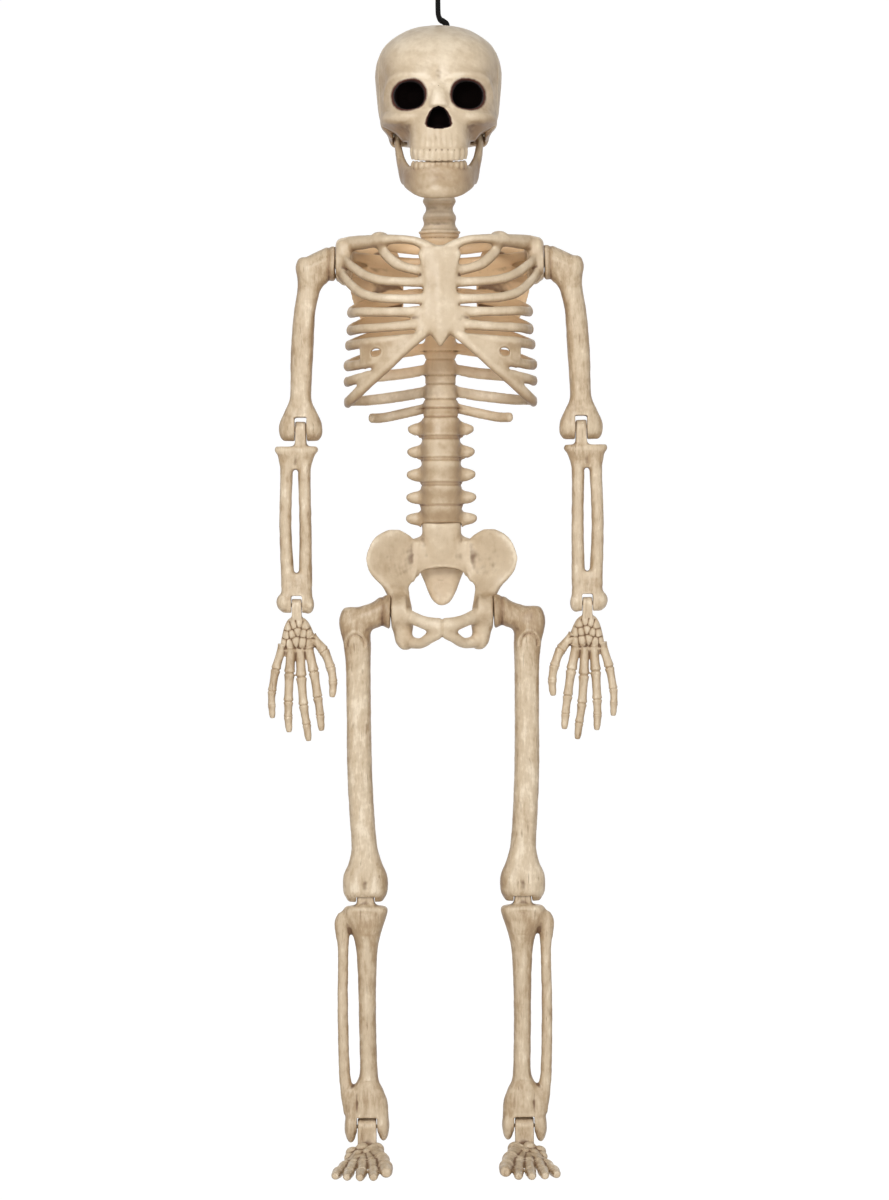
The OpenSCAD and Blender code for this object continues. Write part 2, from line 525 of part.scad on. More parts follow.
module pelvis_back() color(bone) translate([0, 0, sacrum_z]) difference() {
    loft([[0, 33, -10, 17, 5], [0, 35, -14, 20, 6.6], [0, 36, -28, 20, 7], [0, 35, -42, 17, 6.4], [0, 32.6, -52, 11.6, 5.4], [0, 29.6, -60, 5.6, 4], [0, 28, -64, 1.6, 2]], 14, 1, 2.4);
    block(-60, 60, -10, back_plane, -46, 1);
}

// Arm pieces are drawn for the figure's left, from their own joint
module hinge_pin(w, x, y, z) translate([x, y, z]) rod(pin_d, -w / 2 + 3, w / 2 - 3);
module tongue(w, r, reach) {
    rod(2 * r, -w / 2, w / 2);
    block(-w / 2, w / 2, -r, r, -reach - 4, 0);
}
elbow = [shoulder_x + elbow_out, arm_y, shoulder_z - upper_arm];
wrist = [elbow[0] + wrist_out, arm_y, elbow[2] - forearm];
knee = [hip_x + knee_out, leg_y, hip_z - thigh];
ankle = [knee[0], leg_y, knee[2] - shin];

module humerus(s) color(bone) on_side(s) translate([shoulder_x, arm_y, shoulder_z]) {
    r = humerus_d / 2;
    c = elbow_w / 2;
    difference() {
        union() {
            loft([[22, 0, 8, 6, 6], [22, 0, 5, 10, 9.4], [21, 0, -4, 11, 10.4], [19.6, 0, -13, 10.4, 10], [19, 0, -22, 9.4, 9.2], [22.4, 0, -36, r, r], [24.6, 0, -52, r * 1.02, r],
                [elbow_out - 1.4, 0, -upper_arm * 0.55, r * 1.04, r], [elbow_out - 0.5, 0, -upper_arm * 0.74, r * 0.96, r * 0.94], [elbow_out, 0, -upper_arm + 22, r * 1.02, r * 0.96], [elbow_out, 0, -upper_arm + 13, c * 0.74, r], [elbow_out, 0, -upper_arm + 5, c * 0.95, r + 0.8],
                [elbow_out, 0, -upper_arm - 1, c, r + 1], [elbow_out, 0, -upper_arm - 6, c * 0.95, r - 0.4], [elbow_out, 0, -upper_arm - 9.6, c * 0.8, r * 0.55]], 14, 1, 2.2);
            sweep([[0, 0, 0, 11.4, shoulder_d / 2], [3, 0, 0, 11.4, shoulder_d / 2], [9, 0, -1, 10.4, shoulder_d / 2 - 1.5], [20, 0, -3, 9, 9]], [0, 0, 1], 16, 1, 2.2);
        }
        translate([elbow_out, 0, -upper_arm]) {
            block(-elbow_tongue / 2 - run_gap, elbow_tongue / 2 + run_gap, -40, 40, -40, 8.6);
            rod(pin_d, -c + 3, c - 3);
        }
        rod(peg_d, -1, peg_seat);
    }
}
module elbow_pin(s) color(bone) on_side(s) hinge_pin(elbow_w, elbow[0], elbow[1], elbow[2]);
module wrist_pin(s) color(bone) on_side(s) hinge_pin(wrist_w, wrist[0], wrist[1], wrist[2]);
module knee_pin(s) color(bone) on_side(s) hinge_pin(knee_w, knee[0], knee[1], knee[2]);
module ankle_pin(s) color(bone) on_side(s) hinge_pin(ankle_w, ankle[0], ankle[1], ankle[2]);

module forearm_bones(s) color(bone) on_side(s) translate(elbow) {
    r = forearm_bone_d / 2;
    h = forearm_span / 2;
    w = wrist_w / 2;
    difference() {
        union() {
            tongue(elbow_tongue, 5.4, elbow_reach);
            // Head plate under the elbow
            loft([[3.4, 0, -elbow_reach, 16, 6.4], [3.4, 0, -elbow_reach - 3, 17, 7.4], [3.6, 0, -elbow_reach - 8, 14.4, 7], [4, 0, -elbow_reach - 16, h + r + 0.6, 5.6], [4, 0, -elbow_reach - 22, h + r * 0.9, 4.6]], 14, 1, 2.6);
            for (k = [-1, 1])
                loft([[4 + k * h, 0, -elbow_reach - 12, r, r], [4.4 + k * h, 0, -elbow_reach - 26, r * 0.94, r], [wrist_out + 0.6 + k * (h + 0.8), 0, -forearm * 0.55, r * 0.92, r], [wrist_out + k * h, 0, -forearm + 24, r, r], [wrist_out + k * h, 0, -forearm + 14, r, r]], 10, 1);
            loft([[wrist_out, 0, -forearm + 28, h + r * 0.8, 4.4], [wrist_out, 0, -forearm + 21, h + r, 5.6], [wrist_out, 0, -forearm + 10, w * 0.94, 6.4], [wrist_out, 0, -forearm + 1, w, 6.8], [wrist_out, 0, -forearm - 4, w * 0.97, 5.6], [wrist_out, 0, -forearm - 6, w * 0.8, 3.6]], 14, 1, 2.5);
        }
        rod(pin_bore, -20, 20);
        translate([wrist_out, 0, -forearm]) {
            block(-wrist_tongue / 2 - run_gap, wrist_tongue / 2 + run_gap, -40, 40, -40, 7);
            rod(pin_d, -w + 3, w - 3);
        }
    }
}

// Hand: fingers as stations [x, depth below the wrist] for a hand of 106; x grows away from the body
fingers = [
    [[-12, 25], [-22, 36], [-27.6, 49], [-29.4, 60], [-28.4, 72]],
    [[-9, 33], [-13.4, 52], [-16.6, 72], [-18.6, 86], [-19.6, 98]],
    [[-2.4, 34], [-3.2, 56], [-4.8, 78], [-7, 93], [-8.8, 106]],
    [[4.6, 33], [6.4, 56], [7.4, 77], [7.6, 88], [7, 99]],
    [[11.4, 31], [17.6, 50], [20.6, 67], [21, 78], [20.4, 88]]];
module finger(q, d, thick) {
    s = hand_len / 106;
    run = smooth([for (k = q) [k[0] * s, 0, -k[1] * s, 0, 0]], 3);
    m = len(run) - 1;
    sweep([for (i = [0 : m]) let (k = run[i], w = d / 2 * thick * (1 - 0.34 * i / m) * (i % 3 == 0 ? 1.16 : 0.88) * (i == m ? 0.5 : 1))
        [k[0], 0, k[2], w, w]], [0, 1, 0], 8, 1);
}
module hand(s) color(bone) on_side(s) translate(wrist) difference() {
    union() {
        tongue(wrist_tongue, 4.6, wrist_reach);
        loft([[0, 0, -wrist_reach, 10, 4.4], [-0.4, 0, -wrist_reach - 3, 13.4, 5.2], [-0.8, 0, -24, 16.4, 5.4], [-0.6, 0, -31, 16.8, 4.8], [0, 0, -37, 15, 3.6], [0.4, 0, -40, 12.4, 2.2]], 14, 1, 2.5);
        for (i = [0 : 4]) finger(fingers[i], finger_d, i == 0 ? 1.06 : i == 4 ? 0.94 : 1.04);
    }
    rod(pin_bore, -20, 20);
}

// Leg pieces are drawn for the figure's left, from their own joint
module femur(s) color(bone) on_side(s) translate([hip_x, leg_y, hip_z]) {
    r = femur_d / 2;
    c = knee_w / 2;
    difference() {
        union() {
            loft([[30, 0, 4, 4, 4], [29.6, 0, 2, 7.6, 7.4], [28.6, 0, -5, 10.6, 10], [27.4, 0, -14, 11.4, 10.6], [26, 0, -26, 10.6, 10.4], [25.4, 0, -42, r, r], [25.2, 0, -thigh * 0.36, r * 0.98, r * 0.98], [24.8, 0, -thigh * 0.58, r, r],
                [knee_out + 2, 0, -thigh * 0.76, r, r], [knee_out + 0.6, 0, -thigh + 32, r * 1.08, r], [knee_out, 0, -thigh + 19, c * 0.8, r + 0.6], [knee_out, 0, -thigh + 9, c * 0.97, r + 2], [knee_out, 0, -thigh, c, r + 2.6], [knee_out, 0, -thigh - 6, c * 0.95, r + 1.4], [knee_out, 0, -thigh - 11.6, c * 0.74, r * 0.6]], 14, 1, 2.2);
            sweep([[0, 0, 0, 11.4, hip_d / 2], [4, 0, 0, 11.4, hip_d / 2], [9, 0, -1.4, 10, hip_d / 2 - 2.4], [14, 0, -3, 9.4, 10], [27, 0, -7, 9, 10]], [0, 0, 1], 16, 1, 2.1);
        }
        translate([knee_out, 0, -thigh]) {
            block(-knee_tongue / 2 - run_gap, knee_tongue / 2 + run_gap, -8.6, 40, -40, 10.4);
            rod(pin_d, -c + 3, c - 3);
        }
        rod(peg_d, -1, peg_seat);
    }
}
module shin_bones(s) color(bone) on_side(s) translate(knee) {
    r = tibia_d / 2;
    f = fibula_d / 2;
    w = ankle_w / 2;
    difference() {
        union() {
            tongue(knee_tongue, 7, knee_reach);
            loft([[0, 0, -knee_reach, 15, 10], [0, 0, -knee_reach - 3, 17.4, 11.4], [0.4, 0, -knee_reach - 10, 16, 11], [-0.6, 0, -knee_reach - 20, r * 1.66, r * 1.4], [-0.8, 0, -knee_reach - 34, r * 1.2, r * 1.1], [-0.8, 0, -shin * 0.42, r, r], [-1, 0, -shin * 0.6, r * 0.96, r],
                [-1.6, 0, -shin * 0.78, r * 0.98, r], [-2.4, 0, -shin + 29, r * 1.14, r * 1.1], [-3, 0, -shin + 22, r * 1.5, r * 1.2], [-1, 0, -shin + 15, w * 0.92, 9.4], [0, 0, -shin + 6, w, 9.4], [0, 0, -shin - 4, w * 0.99, 8.4], [0, 0, -shin - 9, w * 0.9, 6.4], [0, 0, -shin - 12, w * 0.74, 3.6]], 14, 1, 2.3);
            // Thin bone on the outer side, with its own head
            loft([[shin_span - 1, 0, -knee_reach - 5, f, f], [shin_span, 0, -knee_reach - 12, f * 1.5, f * 1.4], [shin_span, 0, -knee_reach - 22, f * 1.3, f * 1.2], [shin_span - 0.4, 0, -knee_reach - 36, f, f], [shin_span, 0, -shin * 0.5, f, f],
                [shin_span - 1.2, 0, -shin * 0.75, f * 1.04, f], [shin_span - 3.4, 0, -shin + 30, f * 1.2, f * 1.1], [shin_span - 5.4, 0, -shin + 12, f * 1.2, f * 1.1]], 10, 1);
            sweep([[6, 0, -knee_reach - 10, 7, 6], [shin_span, 0, -knee_reach - 14, 4.6, 5.4]], [0, 0, 1], 8, 1);
        }
        rod(pin_bore, -30, 30);
        translate([0, 0, -shin]) {
            block(-ankle_tongue / 2 - run_gap, ankle_tongue / 2 + run_gap, -40, 40, -40, 8.6);
            rod(pin_d, -w + 3, w - 3);
        }
    }
}

// Foot: toes as stations [x, y, height above the sole], for a foot of 108; x grows outward
toes = [
    [[-5, -20, 15], [-12, -44, 11], [-14.6, -62, 7.4], [-15.4, -80, 6]],
    [[-2, -22, 14], [-5.6, -46, 10], [-6.6, -64, 6.4], [-6.8, -82, 4.6]],
    [[1.4, -22, 13], [0.8, -44, 9], [1, -61, 5.8], [1.2, -78, 4.4]],
    [[5, -20, 12], [7.4, -41, 8], [8.6, -57, 5.2], [9, -72, 4]],
    [[8, -16, 10], [13, -36, 6.6], [15.6, -50, 4.6], [16.4, -64, 3.6]]];
module toe(q, d) {
    s = foot_len / 108;
    run = smooth([for (k = q) [k[0], k[1] * s, k[2], 0, 0]], 3);
    m = len(run) - 1;
    sweep([for (i = [0 : m]) let (w = d * (i % 3 == 0 && i > 0 ? 1.12 : 0.9) * (i == m ? 0.55 : 1) * (1 - 0.16 * i / m)) [run[i][0], run[i][1], run[i][2], w, min(w, run[i][2])]], [0, 0, 1], 8, 1);
}
module foot(s) color(bone) on_side(s) translate(ankle) rotate([0, 0, toe_out]) {
    q = foot_len / 108;
    difference() {
        union() {
            rotate([0, 0, -toe_out]) {
                rod(13, -ankle_tongue / 2, ankle_tongue / 2);
                block(-ankle_tongue / 2, ankle_tongue / 2, -6, 6, -20, 0);
            }
            translate([0, 0, -ankle_h]) {
                // Heel and instep
                sweep([[0, 27 * q, 9, 5, 6], [0, 24 * q, 9, 8.4, 8.8], [0, 12 * q, 9.4, 9.4, 9.2], [0, 0, 10, 9.4, 10], [0, -12 * q, 10.4, 11.6, 8.6], [0, -24 * q, 10, 13, 7], [0, -33 * q, 9, 13.6, 5], [0, -38 * q, 8.4, 13, 3]], [0, 0, 1], 12, 1, 2.4);
                for (i = [0 : 4]) toe(toes[i], i == 0 ? 5.4 : 4.1);
            }
        }
        rotate([0, 0, -toe_out]) rod(pin_bore, -30, 30);
    }
}

face_shell();
cranium_shell();
hanging_cord();
cord_knot();
jaw();
jaw_pin(1);  // jaw_pin_left
jaw_pin(-1);  // jaw_pin_right
neck_washer();
neck_screw();
chest_front();
spine_and_back();
pelvis_front();
pelvis_back();
shoulder_peg(1);  // shoulder_peg_left
humerus(1);  // humerus_left
elbow_pin(1);  // elbow_pin_left
forearm_bones(1);  // forearm_left
wrist_pin(1);  // wrist_pin_left
hand(1);  // hand_left
shoulder_peg(-1);  // shoulder_peg_right
humerus(-1);  // humerus_right
elbow_pin(-1);  // elbow_pin_right
forearm_bones(-1);  // forearm_right
wrist_pin(-1);  // wrist_pin_right
hand(-1);  // hand_right
hip_peg(1);  // hip_peg_left
femur(1);  // femur_left
knee_pin(1);  // knee_pin_left
shin_bones(1);  // shin_left
ankle_pin(1);  // ankle_pin_left
foot(1);  // foot_left
hip_peg(-1);  // hip_peg_right
femur(-1);  // femur_right
knee_pin(-1);  // knee_pin_right
shin_bones(-1);  // shin_right
ankle_pin(-1);  // ankle_pin_right
foot(-1);  // foot_right
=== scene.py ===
import json
import math

import bpy
import numpy as np
from mathutils import Matrix, Vector

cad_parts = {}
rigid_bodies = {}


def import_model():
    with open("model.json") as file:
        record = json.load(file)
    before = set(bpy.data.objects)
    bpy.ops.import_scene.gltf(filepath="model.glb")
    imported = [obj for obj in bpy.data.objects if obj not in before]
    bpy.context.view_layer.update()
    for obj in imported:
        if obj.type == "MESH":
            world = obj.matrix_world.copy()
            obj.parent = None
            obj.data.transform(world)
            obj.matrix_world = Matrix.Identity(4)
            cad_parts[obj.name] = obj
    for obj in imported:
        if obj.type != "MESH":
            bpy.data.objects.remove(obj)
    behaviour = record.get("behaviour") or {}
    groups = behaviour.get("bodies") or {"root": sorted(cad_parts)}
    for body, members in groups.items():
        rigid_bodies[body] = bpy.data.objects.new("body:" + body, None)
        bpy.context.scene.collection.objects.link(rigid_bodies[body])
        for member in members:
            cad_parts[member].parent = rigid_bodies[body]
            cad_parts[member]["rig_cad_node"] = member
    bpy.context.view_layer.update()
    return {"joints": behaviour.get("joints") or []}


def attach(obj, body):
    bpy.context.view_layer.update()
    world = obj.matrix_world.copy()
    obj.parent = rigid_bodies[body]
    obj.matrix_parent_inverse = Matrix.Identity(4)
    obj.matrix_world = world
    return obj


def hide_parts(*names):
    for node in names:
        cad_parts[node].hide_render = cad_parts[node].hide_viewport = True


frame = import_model()

# Shapes are (points, triangles) in millimetres; a mesh is in metres
# X is the figure's own left, -Y its front
mm = 0.001
upZ = (0.0, 0.0, 1.0)
upY = (0.0, 1.0, 0.0)


def throughKeys(keys, steps):
    # Each span is the cubic through its two stations, steered by the stations beside them
    keys = np.asarray(keys, float)
    p = np.vstack([keys[:1], keys, keys[-1:]])
    t = np.linspace(0, 1, steps, endpoint=False)[None, :, None]
    a, b, c, d = (p[i:len(p) - 3 + i, None, :] for i in range(4))
    run = 0.5 * (2 * b + (c - a) * t + (2 * a - 5 * b + 4 * c - d) * t ** 2
                 + (3 * b - a - 3 * c + d) * t ** 3)
    return np.vstack([run.reshape(-1, keys.shape[1]), keys[-1:]])


def ovalTurn(sides, power):
    # Superellipse: cos and sin, each with its size raised to 2 / power
    a = 2 * np.pi * (np.arange(sides) + 0.5) / sides
    return [np.sign(f(a)) * np.abs(f(a)) ** (2 / power) for f in (np.cos, np.sin)]


def unitRows(v):
    return v / np.maximum(np.linalg.norm(v, axis=-1, keepdims=True), 1e-9)


def skin(rings):
    # Rings that turn left round the way they go, joined row to row; each end closes to its own middle
    m, n = rings.shape[:2]
    points = np.vstack([rings.reshape(-1, 3), rings[:1].mean(1), rings[-1:].mean(1)])
    j = np.arange(n)
    k = (j + 1) % n
    row = (np.arange(m - 1) * n)[:, None]
    a, b = row + j, row + k
    last = (m - 1) * n
    sheets = [(a, b, b + n), (a, b + n, a + n), (j * 0 + m * n, k, j),
              (j * 0 + m * n + 1, last + j, last + k)]
    return points, np.vstack([np.stack(s, -1).reshape(-1, 3) for s in sheets])


def lofted(keys, sides=32, steps=6, power=2.0):
    # Stations [x, y, z, half width, half depth, turn]: a level superellipse at each height
    keys = [list(k) + [0] * (6 - len(k)) for k in keys]
    run = throughKeys(keys if keys[0][2] < keys[-1][2] else keys[::-1], steps)
    c, s = ovalTurn(sides, power)
    u, v = np.maximum(run[:, 3:4], 0.3) * c, np.maximum(run[:, 4:5], 0.3) * s
    w = np.radians(run[:, 5:6])
    x = run[:, 0:1] + u * np.cos(w) - v * np.sin(w)
    y = run[:, 1:2] + u * np.sin(w) + v * np.cos(w)
    return skin(np.stack([x, y, run[:, 2:3] + 0 * u], -1))


def swept(keys, up=upZ, sides=20, steps=6, power=2.0):
    # Stations [x, y, z, half across, half along up]: a superellipse carried square to the path
    run = throughKeys(keys, steps)
    way = unitRows(np.gradient(run[:, :3], axis=0))
    across = unitRows(np.cross(np.asarray(up), way))
    rise = np.cross(way, across)
    c, s = ovalTurn(sides, power)
    u, v = np.maximum(run[:, 3:4], 0.25) * c, np.maximum(run[:, 4:5], 0.25) * s
    return skin(run[:, None, :3] + u[..., None] * across[:, None] + v[..., None] * rise[:, None])


def ball(x, y, z, rx, ry, rz):
    # Ellipsoid: level circles whose radius is the sine of the angle from the bottom
    pole, rows = 0.06, 14
    a = np.linspace(pole, np.pi - pole, rows)
    return lofted(np.stack([x + 0 * a, y + 0 * a, z - rz * np.cos(a), rx * np.sin(a), ry * np.sin(a)], -1),
                  20, 1)


def barX(d, x0, x1, y=0.0, z=0.0):
    # Round bar along X
    return swept([[x, y, z, d / 2, d / 2] for x in (x0, x1)], upZ, 40, 1)


def barZ(r, x, y, z0, z1, sides):
    # Round bar along Z
    return lofted([[x, y, z, r, r] for z in (z0, z1)], sides, 1)


def slab(x0, x1, y0, y1, z0, z1):
    # Box between two corners
    corners = np.array([[x, y, z] for z in (z0, z1) for x, y in ((x0, y0), (x1, y0), (x1, y1), (x0, y1))],
                       float)
    faces = [(0, 2, 1), (0, 3, 2), (4, 5, 6), (4, 6, 7)]
    for i in range(4):
        k = (i + 1) % 4
        faces += [(i, k, k + 4), (i, k + 4, i + 4)]
    return corners, np.array(faces)


def moved(shape, by):
    return shape[0] + np.asarray(by, float), shape[1]


def lifted(shapes, z):
    return [moved(s, (0, 0, z)) for s in shapes]


def flipped(shape):
    # The same shape on the other side, with its faces turned back outwards
    return shape[0] * (-1, 1, 1), shape[1][:, ::-1]


def bothSides(shapes):
    return list(shapes) + [flipped(s) for s in shapes]


def turnedZ(shape, degrees):
    a = math.radians(degrees)
    turn = np.array([[math.cos(a), math.sin(a), 0], [-math.sin(a), math.cos(a), 0], [0, 0, 1]])
    return shape[0] @ turn, shape[1]


def inScene(name, data):
    ob = bpy.data.objects.new(name, data)
    bpy.context.scene.collection.objects.link(ob)
    return ob


def asObject(name, shapes):
    start = np.cumsum([0] + [len(s[0]) for s in shapes])
    points = np.vstack([s[0] for s in shapes]) * mm
    tris = np.vstack([s[1] + b for s, b in zip(shapes, start)])
    mesh = bpy.data.meshes.new(name)
    mesh.from_pydata(points.tolist(), [], tris.tolist())
    mesh.update()
    return inScene(name, mesh)


def readVectors(items, prop):
    out = np.empty(len(items) * 3, np.float32)
    items.foreach_get(prop, out)
    return out.reshape(-1, 3).astype(float)


def pointsOf(mesh):
    return readVectors(mesh.vertices, "co")


def normalsOf(mesh):
    return readVectors(mesh.vertex_normals, "vector")


def setPoints(mesh, co):
    mesh.vertices.foreach_set("co", co.astype(np.float32).ravel())
    mesh.update()


def smooth(mesh):
    mesh.polygons.foreach_set("use_smooth", np.ones(len(mesh.polygons), bool))


def edgeNeighbours(mesh):
    # The vertex pairs of all edges, and one over each vertex's count of neighbours
    pairs = np.empty(len(mesh.edges) * 2, np.int32)
    mesh.edges.foreach_get("vertices", pairs)
    share = 1 / np.maximum(np.bincount(pairs, minlength=len(mesh.vertices)), 1)[:, None]
    return pairs.reshape(-1, 2), share


def neighbourMean(values, pairs, share):
    # Each vertex takes the mean of the vertices that it has an edge to
    a, b = pairs.T
    n = len(values)
    total = np.stack([np.bincount(a, v[b], n) + np.bincount(b, v[a], n) for v in values.T], -1)
    return total * share


def eased(values, pairs, share, pulls):
    # Each round pulls every vertex towards the mean of its neighbours, or away from it
    for pull in pulls:
        values = values + pull * (neighbourMean(values, pairs, share) - values)
    return values


def within(v):
    return np.clip(v, 0, 1)


def bell(v, width):
    # 1 in the middle, fading to both sides
    return np.exp(-(v / width) ** 2)


def folded(co):
    # Both sides laid on one, for forms that are alike left and right
    return np.stack([np.abs(co[:, 0]), co[:, 1], co[:, 2]], -1)


def fuse(ob, voxel):
    mod = ob.modifiers.new("fuse", "REMESH")
    mod.mode = "VOXEL"
    mod.voxel_size = voxel * mm


def settle(mesh, rounds):
    # Smoothing by turns in and out, so that edges soften and the piece keeps its size
    pairs, share = edgeNeighbours(mesh)
    pullIn, pullOut = 0.55, -0.57
    setPoints(mesh, eased(pointsOf(mesh), pairs, share, [pullIn, pullOut] * rounds))
    return pairs, share


def hollowness(mesh, pairs, share, voxel):
    # How far the surface lies below the mean of its surroundings, from 0 on ridges to 1 in hollows;
    # the surroundings are taken near, wider and far, as (rounds, depth that counts)
    co, normal = pointsOf(mesh) / mm, normalsOf(mesh)
    level, around, done = 0, co, 0
    for rounds, reach in ((4, 0.16), (18, 0.5), (60, 1.3)):
        around = eased(around, pairs, share, [0.7] * (int(rounds / voxel) - done))
        done = int(rounds / voxel)
        level = level + np.tanh(((around - co) * normal).sum(1) / reach) / 3
    level = eased(level[:, None], pairs, share, [0.5] * 3)
    return within(0.5 + 0.75 * level[:, 0])


def dab(co, at, radii):
    # Soft spot: a bell curve of the distance from its middle
    return np.exp(-(((co - np.asarray(at, float)) / np.asarray(radii, float)) ** 2).sum(1))


def dabs(co, spots):
    # Spots as (push, middle, radii), added up
    return sum(push * dab(co, at, radii) for push, at, radii in spots)


def lumps(co, size, seed):
    # Hand-made unevenness: four products of two slanted waves, each finer and weaker, added; about -1 to 1
    rng = np.random.default_rng(seed)
    out = 0
    for k in range(4):
        w = rng.normal(size=(2, 3)) * 2 * np.pi / size * (1 + 0.4 * k)
        s = rng.uniform(0, 6.28, 2)
        out = out + np.sin(co @ w[0] + s[0]) * np.sin(co @ w[1] + s[1]) / (1 + 0.5 * k)
    return out / 1.6


def fill(mesh, name, values):
    layer = mesh.attributes.get(name) or mesh.attributes.new(name, "FLOAT", "POINT")
    layer.data.foreach_set("value", np.asarray(values, np.float32))


def fillCreases(mesh, rounds):
    # Hollow corners fill to a fillet: a vertex below the mean of its neighbours rises to it, one above stays
    pairs, share = edgeNeighbours(mesh)
    co = pointsOf(mesh)
    for i in range(rounds):
        if i % 4 == 0:
            setPoints(mesh, co)
            normal = normalsOf(mesh)
        rise = ((neighbourMean(co, pairs, share) - co) * normal).sum(1, keepdims=True)
        co += 0.85 * np.maximum(rise, 0) * normal
    setPoints(mesh, co)


def bake(ob):
    # The modifiers' result becomes the piece's own mesh
    bpy.context.view_layer.update()
    mesh = bpy.data.meshes.new_from_object(ob.evaluated_get(bpy.context.evaluated_depsgraph_get()))
    ob.modifiers.clear()
    rawMesh, ob.data = ob.data, mesh
    bpy.data.meshes.remove(rawMesh)
    mesh.name = ob.name
    return mesh


def combine(ob, tool, how):
    mod = ob.modifiers.new("combine", "BOOLEAN")
    mod.operation, mod.object, mod.solver = how, tool, "MANIFOLD"


# Moulding: grid growth before webbing, faces of a plain box, sizes of lumps and dimples, how near the seam
# points stay in it, painted shade on sides that face left and right and on undersides, most triangles of a
# piece
moulding = {"webGrid": 1.35, "boxFaces": 12, "lump": 26, "dimple": 9, "dimpleShare": 0.4, "seamReach": 1.3,
            "sideShade": 0.75, "underShade": 0.45, "mostTriangles": 190000}


def mould(name, add, cut=(), voxel=0.8, soft=3, relief=None, shade=None, paint=None, tone=0.0, rough=0.16,
          web=0, fine=(), seamAt=None):
    # Shapes run together on a fine grid, webbed in their corners, given fine detail, cut and settled
    m = moulding
    ob = asObject(name, add)
    fuse(ob, voxel * (m["webGrid"] if web else 1))
    if web:
        fillCreases(bake(ob), web)
        fuse(ob, voxel)
    tools = [asObject(name + "Tool", c) for c in ([fine] if fine else []) + list(cut)]
    for i, tool in enumerate(tools):
        if len(tool.data.polygons) > m["boxFaces"]:
            fuse(tool, voxel)
        combine(ob, tool, "UNION" if fine and i == 0 else "DIFFERENCE")
    if tools:
        fuse(ob, voxel)
    mesh = bake(ob)
    for tool in tools:
        toolMesh = tool.data
        bpy.data.objects.remove(tool)
        bpy.data.meshes.remove(toolMesh)
    pairs, share = settle(mesh, soft)
    co, normal = pointsOf(mesh) / mm, normalsOf(mesh)
    push = (rough * lumps(co, m["lump"], len(name))
            + m["dimpleShare"] * rough * lumps(co, m["dimple"], len(name) + 1))
    if relief:
        push = push + relief(co, normal)
    move = push[:, None] * normal
    if seamAt is not None:
        # Points on the seam stay in its plane, so that the two halves still meet
        move[np.abs(co[:, 1] - seamAt) < m["seamReach"], 1] = 0
    co = co + move
    setPoints(mesh, co * mm)
    # How deep each point lies in a hollow: ridges show bare paint, and hollows take painted shade over a
    # brown wash
    fill(mesh, "washshade", hollowness(mesh, pairs, share, voxel))
    for layer, form in (("shade", shade), ("paint", paint)):
        fill(mesh, layer, form(co, normal) if form else np.zeros(len(co)))
    brownAndShade = tone(co, normal) if callable(tone) else tone
    # Painted shade: brown added on sides that face left and right, and on undersides
    brownAndShade = brownAndShade + m["sideShade"] * np.abs(normal[:, 0]) ** 3 + m["underShade"] * within(-normal[:, 2])
    fill(mesh, "tone", brownAndShade)
    smooth(mesh)
    mesh.update()
    triangles = 2 * len(mesh.polygons)
    if triangles > m["mostTriangles"]:
        # A grid with too many faces loses them where the surface is flat
        thin = ob.modifiers.new("thin", "DECIMATE")
        thin.ratio = m["mostTriangles"] / triangles
        triangles = len(bake(ob).polygons)
    print(f"moulded {name}: {triangles} triangles")
    return ob


def otherSide(ob, name):
    # Mirror copy across the middle plane, with its faces turned back outwards
    mesh = ob.data.copy()
    mesh.name = name
    mesh.transform(Matrix.Scale(-1, 4, (1, 0, 0)))
    mesh.flip_normals()
    return inScene(name, mesh)


def standFor(ob, body, slot, *nodes):
    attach(ob, body)
    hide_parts(*nodes)


# Camera at the photograph's angle: level with the figure's middle, with the frame 1200 high for 931 mm
cameraView = {"distance": 3.2, "midHeight": -0.506, "side": 0.0019, "roll": 0.4, "frameHeight": 0.931,
              "sensor": 36.0}
cameraData = bpy.data.cameras.new("camera")
cameraData.sensor_width = cameraView["sensor"]
cameraData.lens = cameraView["sensor"] * cameraView["distance"] / cameraView["frameHeight"]
camera = inScene("camera", cameraData)
camera.location = (cameraView["side"], -cameraView["distance"], cameraView["midHeight"])
camera.rotation_euler = (math.pi / 2, math.radians(cameraView["roll"]), 0)
bpy.context.scene.camera = camera

# Hanging cord: knot, out of the front hole, bent to the middle, up, round the loop and down the back hole
hangingCord = {
    "diameter": 4.0, "crown": -60.0, "strands": 8, "weave": 0.22, "lay": 2.6, "ends": 0.7, "sides": 32,
    "route": [[3.4, 5.6, -10], [5, 4.2, -7.4], [6.9, 2.7, -4.4], [7, 2.6, -2], [7, 2.6, 0], [6.6, 2.7, 1.8],
              [4.6, 3.3, 3.6], [1.6, 4.3, 5.4], [0.2, 4.8, 10], [0, 4.9, 22], [0, 4.6, 36], [0, 2.2, 48],
              [0, 2.6, 54.4], [0, 7.4, 58], [0, 12.2, 54.4], [0, 12.6, 48], [0, 10.2, 36], [0, 9.9, 22],
              [0.2, 9.6, 10], [1.6, 10.1, 5.4], [4.6, 11.1, 3.6], [6.6, 11.7, 1.8], [7, 11.8, 0],
              [6.9, 11.7, -4.4], [5, 10.2, -7.4], [3.4, 8.8, -10]]}


def carriedFrames(path):
    # Two directions square to the path at each point, carried along it without twisting
    way = unitRows(np.gradient(path, axis=0))
    side = np.empty_like(way)
    side[0] = unitRows(np.cross(way[0], (0.3, 0.8, 0.5)))
    for i in range(1, len(way)):
        side[i] = side[i - 1] - (side[i - 1] @ way[i]) * way[i]
        side[i] /= np.linalg.norm(side[i])
    return side, np.cross(way, side)


